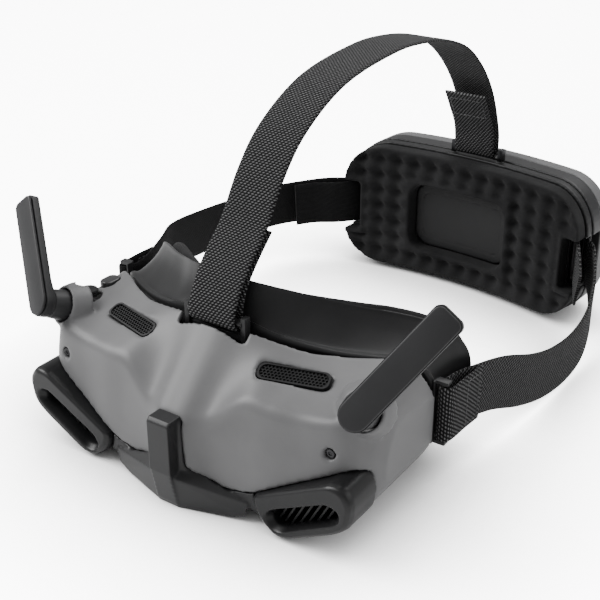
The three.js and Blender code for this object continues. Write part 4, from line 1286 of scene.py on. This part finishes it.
def stitch_rows(name, points, across, width, first, last):
    """Rows of thread along both edges of a strap and across its ends, on its outer face."""
    line, side, flat = strap_frames(points, across, 0.65)
    run = np.concatenate([[0.0], np.cumsum(np.linalg.norm(np.diff(line, axis=0), axis=1))])
    spots = []

    def spot(along, offset, cross):
        i = int(np.argmin(abs(run - along)))
        ahead = np.cross(flat[i], side[i])
        x, y = (ahead, side[i]) if not cross else (side[i], -ahead)
        turn = Matrix((Vector(flat[i]), Vector(y), Vector(x))).transposed().to_4x4()
        spots.append(Matrix.Translation(Vector(line[i] + side[i] * offset + flat[i] * (WEBBING / 2))) @ turn)

    for along in np.arange(first, last, STITCH_PITCH):
        spot(along, width / 2 - 2.6, False)
        spot(along, 2.6 - width / 2, False)
    for offset in np.arange(-width / 2 + 3.8, width / 2 - 3, STITCH_PITCH):
        spot(first - 0.4, offset, True)
        spot(last, offset, True)
    thread = turned("thread", [(-0.95, 0.08), (-0.7, 0.22), (0, 0.27), (0.7, 0.22), (0.95, 0.08)], 8)
    return spread(name, thread, spots, THREAD, 0.06, 11)


def make_stitches():
    line = centripetal(TOP_PATH, 0.65)
    length = float(np.linalg.norm(np.diff(line, axis=0), axis=1).sum())
    for name, path, across, width, first, last in (
        ("top_stitches_front", TOP_PATH, (1, 0, 0), TOP_STRAP_WIDTH, 3.0, 15.0),
        ("top_stitches_rear", TOP_PATH, (1, 0, 0), TOP_STRAP_WIDTH, length - 16.0, length - 4.0),
        ("side_stitches_left", LEFT_PATH, (0, 0, 1), SIDE_STRAP_WIDTH, 3.0, 12.0),
        ("side_stitches_right", RIGHT_PATH, (0, 0, 1), SIDE_STRAP_WIDTH, 3.0, 12.0),
    ):
        hand_over(stitch_rows(name, path, across, width, first, last), THREAD, "cloth", "headset")


def make_knob_ribs():
    for side, sign in (("left", 1), ("right", -1)):
        spots = []
        middle = Matrix.Translation(Vector((EYE_HALF_SPACING * sign, KNOB_Y, KNOB_MIDDLE)))
        for a in np.linspace(0, 2 * math.pi, KNOB_RIBS, endpoint=False):
            out = Matrix.Translation(Vector((KNOB_RIB_RADIUS, 0, 0)))
            spots.append(middle @ Matrix.Rotation(a, 4, "Z") @ out)
        rib = turned("rib", [(-2.2, 0.12), (-1.9, 0.28), (1.9, 0.28), (2.2, 0.12)], 10)
        ribs = spread("knob_ribs_" + side, rib, spots, SCOOP_BLACK)
        hand_over(ribs, SCOOP_BLACK, "black", "knob_" + side)


# ================================================================ battery pack
def bend(x):
    return PACK_MIDDLE - PACK_SAG * (x / (PACK_WIDTH / 2)) ** 2


def slab(name, w, h, corner, y0, y1, cx=0.0, cz=0.0, soft=0.0):
    """A slab that bends round the head, with rounded ends, from y0 back to y1."""
    flat = w / 2 - corner
    half = [(flat + corner * math.cos(t), h / 2 - corner + corner * math.sin(t))
            for t in np.linspace(0, math.pi / 2, 13)]
    half += [(flat * (1 - i / 30), h / 2) for i in range(1, 30)]
    stations = [(-x, z) for x, z in half] + [(0.0, h / 2)] + half[::-1]
    rings = []
    for x, z in stations:
        z = max(z, 0.5)
        y = bend(cx + x)
        edge = [(y0, -z), (y0, z)]
        if soft:
            for t in np.linspace(0, math.pi / 2, 7):
                reach = min(soft, z - 0.2)
                edge.append((y1 - soft + soft * math.sin(t), z - reach + reach * math.cos(t)))
            for t in np.linspace(math.pi / 2, 0, 7):
                reach = min(soft, z - 0.2)
                edge.append((y1 - soft + soft * math.sin(t), reach - z - reach * math.cos(t)))
        else:
            edge += [(y1, z), (y1, -z)]
        rings.append([(cx + x, y + depth, cz + height) for depth, height in edge])
    return loft(name, rings)


def full_slab(name, less, y0, y1, soft=0.0):
    return slab(name, PACK_WIDTH - 2 * less, PACK_HEIGHT - 2 * less, PACK_CORNER - less, y0, y1, 0, 0, soft)


NOTCH = SIDE_STRAP_WIDTH + 3.8
WINDOW = (62.0, 40.0, 9.0, -4.0, -2.0)   # width, height, corner, x and z of its middle


def window_slab(less, y0, y1):
    w, h, corner, x, z = WINDOW
    return slab("window", w - 2 * less, h - 2 * less, corner, y0, y1, x, z)


def cut_notches(thing):
    for sign in (1, -1):
        notch = block("notch", (20, 60, NOTCH), (sign * (PACK_WIDTH / 2 - 1.5), -14, -2))
        combine(thing, notch, "DIFFERENCE")
    return thing


def make_foam():
    foam = full_slab("pack_foam_pad", 1.5, *FOAM_DEPTH)
    combine(foam, window_slab(0, -5, 20), "DIFFERENCE")
    cut_notches(foam)
    soften(foam, 0.9, 12)
    w, h, _, wx, wz = WINDOW
    outer_x, outer_z = PACK_WIDTH / 2 - 1.5, PACK_HEIGHT / 2 - 1.5
    for vertex in foam.data.vertices:
        x, y, z = vertex.co / MM
        if y > bend(x) + 2.5:
            continue
        edge = min(outer_z - abs(z), outer_x - abs(x), outer_x + outer_z - 13 - abs(x) - abs(z))
        opening = max(abs(x - wx) - w / 2, abs(z - wz) - h / 2)
        end = 99.0 if abs(z + 2) > NOTCH / 2 + 3 else 66 - abs(x)
        room = min(edge, opening, end) - 1.5
        if room <= 0:
            continue
        u, v = x / BUMP_SPACING[0], z / BUMP_SPACING[1]
        wave = math.cos(math.pi * (u + v)) * math.cos(math.pi * (u - v))
        vertex.co.y += BUMP_HEIGHT * (0.5 + 0.5 * wave) ** 1.3 * min(1.0, room / 3.0) * MM
    placed(foam, PACK_FRAME)
    smooth_shade(foam, 80)
    hand_over(foam, FOAM, "foam", "headset", "pack_foam")


def make_pack():
    plate = window_slab(0.6, 7.5, 9.8)
    groove = slab("groove", 52.0, 29.0, 5.0, 6.0, 8.1, -4.0, -2.0)
    combine(groove, slab("tongue", 50.6, 27.6, 4.4, 5.0, 9.0, -4.0, -2.0), "DIFFERENCE")
    combine(plate, groove, "DIFFERENCE")
    soften(plate, 0.5, 3)
    hand_over(placed(plate, PACK_FRAME), INNER_BLACK, "black", "headset", "pack_inner_plate")

    cover = full_slab("pack_front_skin", 0.6, *COVER_DEPTH)
    combine(cover, full_slab("hollow", 6, 13, 20), "DIFFERENCE")
    cut_notches(cover)
    soften(cover, 0.7, 3)
    hand_over(placed(cover, PACK_FRAME), INNER_BLACK, "black", "headset", "pack_front_cover")

    middle = full_slab("pack_band_skin", 0, *BAND_DEPTH)
    room = full_slab("room", 2.4, 10, 30)
    for sign in (1, -1):
        liner = block("liner", (24, 30, NOTCH + 5), (sign * (PACK_WIDTH / 2 - 2), 18, -2))
        combine(room, liner, "DIFFERENCE")
    combine(middle, room, "DIFFERENCE")
    cut_notches(middle)
    soften(middle, 0.6, 3)
    hand_over(placed(middle, PACK_FRAME), TRIM_GREY, "trim", "headset", "pack_middle_band")

    rear = full_slab("pack_rear_skin", 0, *REAR_DEPTH, 7)
    combine(rear, full_slab("hollow", 2.2, 24, 36.6, 6), "DIFFERENCE")
    button_y, port_y = REAR_DEPTH[1] + bend(52), REAR_DEPTH[1] + bend(30)
    combine(rear, drum("button_hole", 6.3, (52, button_y - 15, 8), (52, button_y + 15, 8)), "DIFFERENCE")
    combine(rear, block("light_slot", (16, 30, 2.6), (52, button_y, -5)), "DIFFERENCE")
    port = prism("port_hole", rounded_rect(9.6, 3.8, 1.8, 30, -26), port_y - 12, port_y + 12)
    combine(rear, port, "DIFFERENCE")
    soften(rear, 0.65, 3)
    hand_over(placed(rear, PACK_FRAME), PACK_REAR_GREY, "pack_grey", "headset", "pack_rear_shell")


# ================================================================ smaller pieces
BODY_OF = {node: body for body, nodes in frame["record"]["behaviour"]["bodies"].items() for node in nodes}


def dress(node, material):
    """The node's own shape is right: it only takes a better material."""
    for holder in frame["nodes"][node].material_slots:
        holder.material = material


def make_small_pieces():
    sides = ("left", "right")
    rounded = [("antenna_hub_" + s, 0.5, ANTENNA_GREY, "trim") for s in sides]
    rounded += [("antenna_cover_" + s, 0.9, ANTENNA_GREY, "trim") for s in sides]
    rounded += [("antenna_blade_" + s, 1.0, ANTENNA_GREY, "trim") for s in sides]
    rounded += [("scoop_fins_" + s, 0.2, SCOOP_BLACK, "black") for s in sides]
    rounded += [("strap_lug_" + s, 0.25, TRIM_GREY, "trim") for s in sides]
    rounded += [("focus_knob_" + s, 0.4, SCOOP_BLACK, "black") for s in sides]
    rounded += [("lens_barrel_" + s, 0.35, INNER_BLACK, "black") for s in sides]
    rounded += [("shell_screw_" + s, 0.15, BLACK_STEEL, "steel") for s in sides]
    rounded += [("pack_end_bar_" + s, 0.2, BLACK_STEEL, "steel") for s in sides]
    rounded += [
        ("top_loop", 0.3, TRIM_GREY, "trim"), ("pack_top_loop", 0.25, BLACK_STEEL, "steel"),
        ("joystick_ring", 0.2, KEY_GREY, "trim"), ("joystick_cap", 0.15, INNER_BLACK, "black"),
        ("back_button", 0.3, KEY_GREY, "trim"), ("power_button", 0.5, KEY_GREY, "trim"),
        ("eyepiece_plate", 0.4, INNER_BLACK, "black"), ("fan_rotor", 0.15, TRIM_GREY, "trim"),
        ("charge_port", 0.15, STEEL, "steel"),
    ]
    for node, width, material, slot in rounded:
        eased(node, width, material, slot, BODY_OF[node])
    for s in sides:
        dress("eye_lens_" + s, LENS_GLASS)
        dress("micro_display_" + s, BOARD)
        dress("antenna_element_" + s, BOARD)
    for node, material in (
        ("proximity_window", LENS_GLASS), ("charge_lights", LENS_GLASS), ("joystick_base", INNER_BLACK),
        ("joystick_stem", KEY_GREY), ("fan_housing", INNER_BLACK), ("main_board", BOARD),
        ("pack_board", BOARD), ("heat_sink", ALUMINIUM), ("cell_upper", CELL_WRAP),
        ("cell_lower", CELL_WRAP),
    ):
        dress(node, material)


make_camera()
make_studio()
make_shell()
make_trim()
make_scoops()
make_light_shield()
make_face_pad()
make_straps()
make_vents()
make_stitches()
make_knob_ribs()
make_foam()
make_pack()
make_small_pieces()
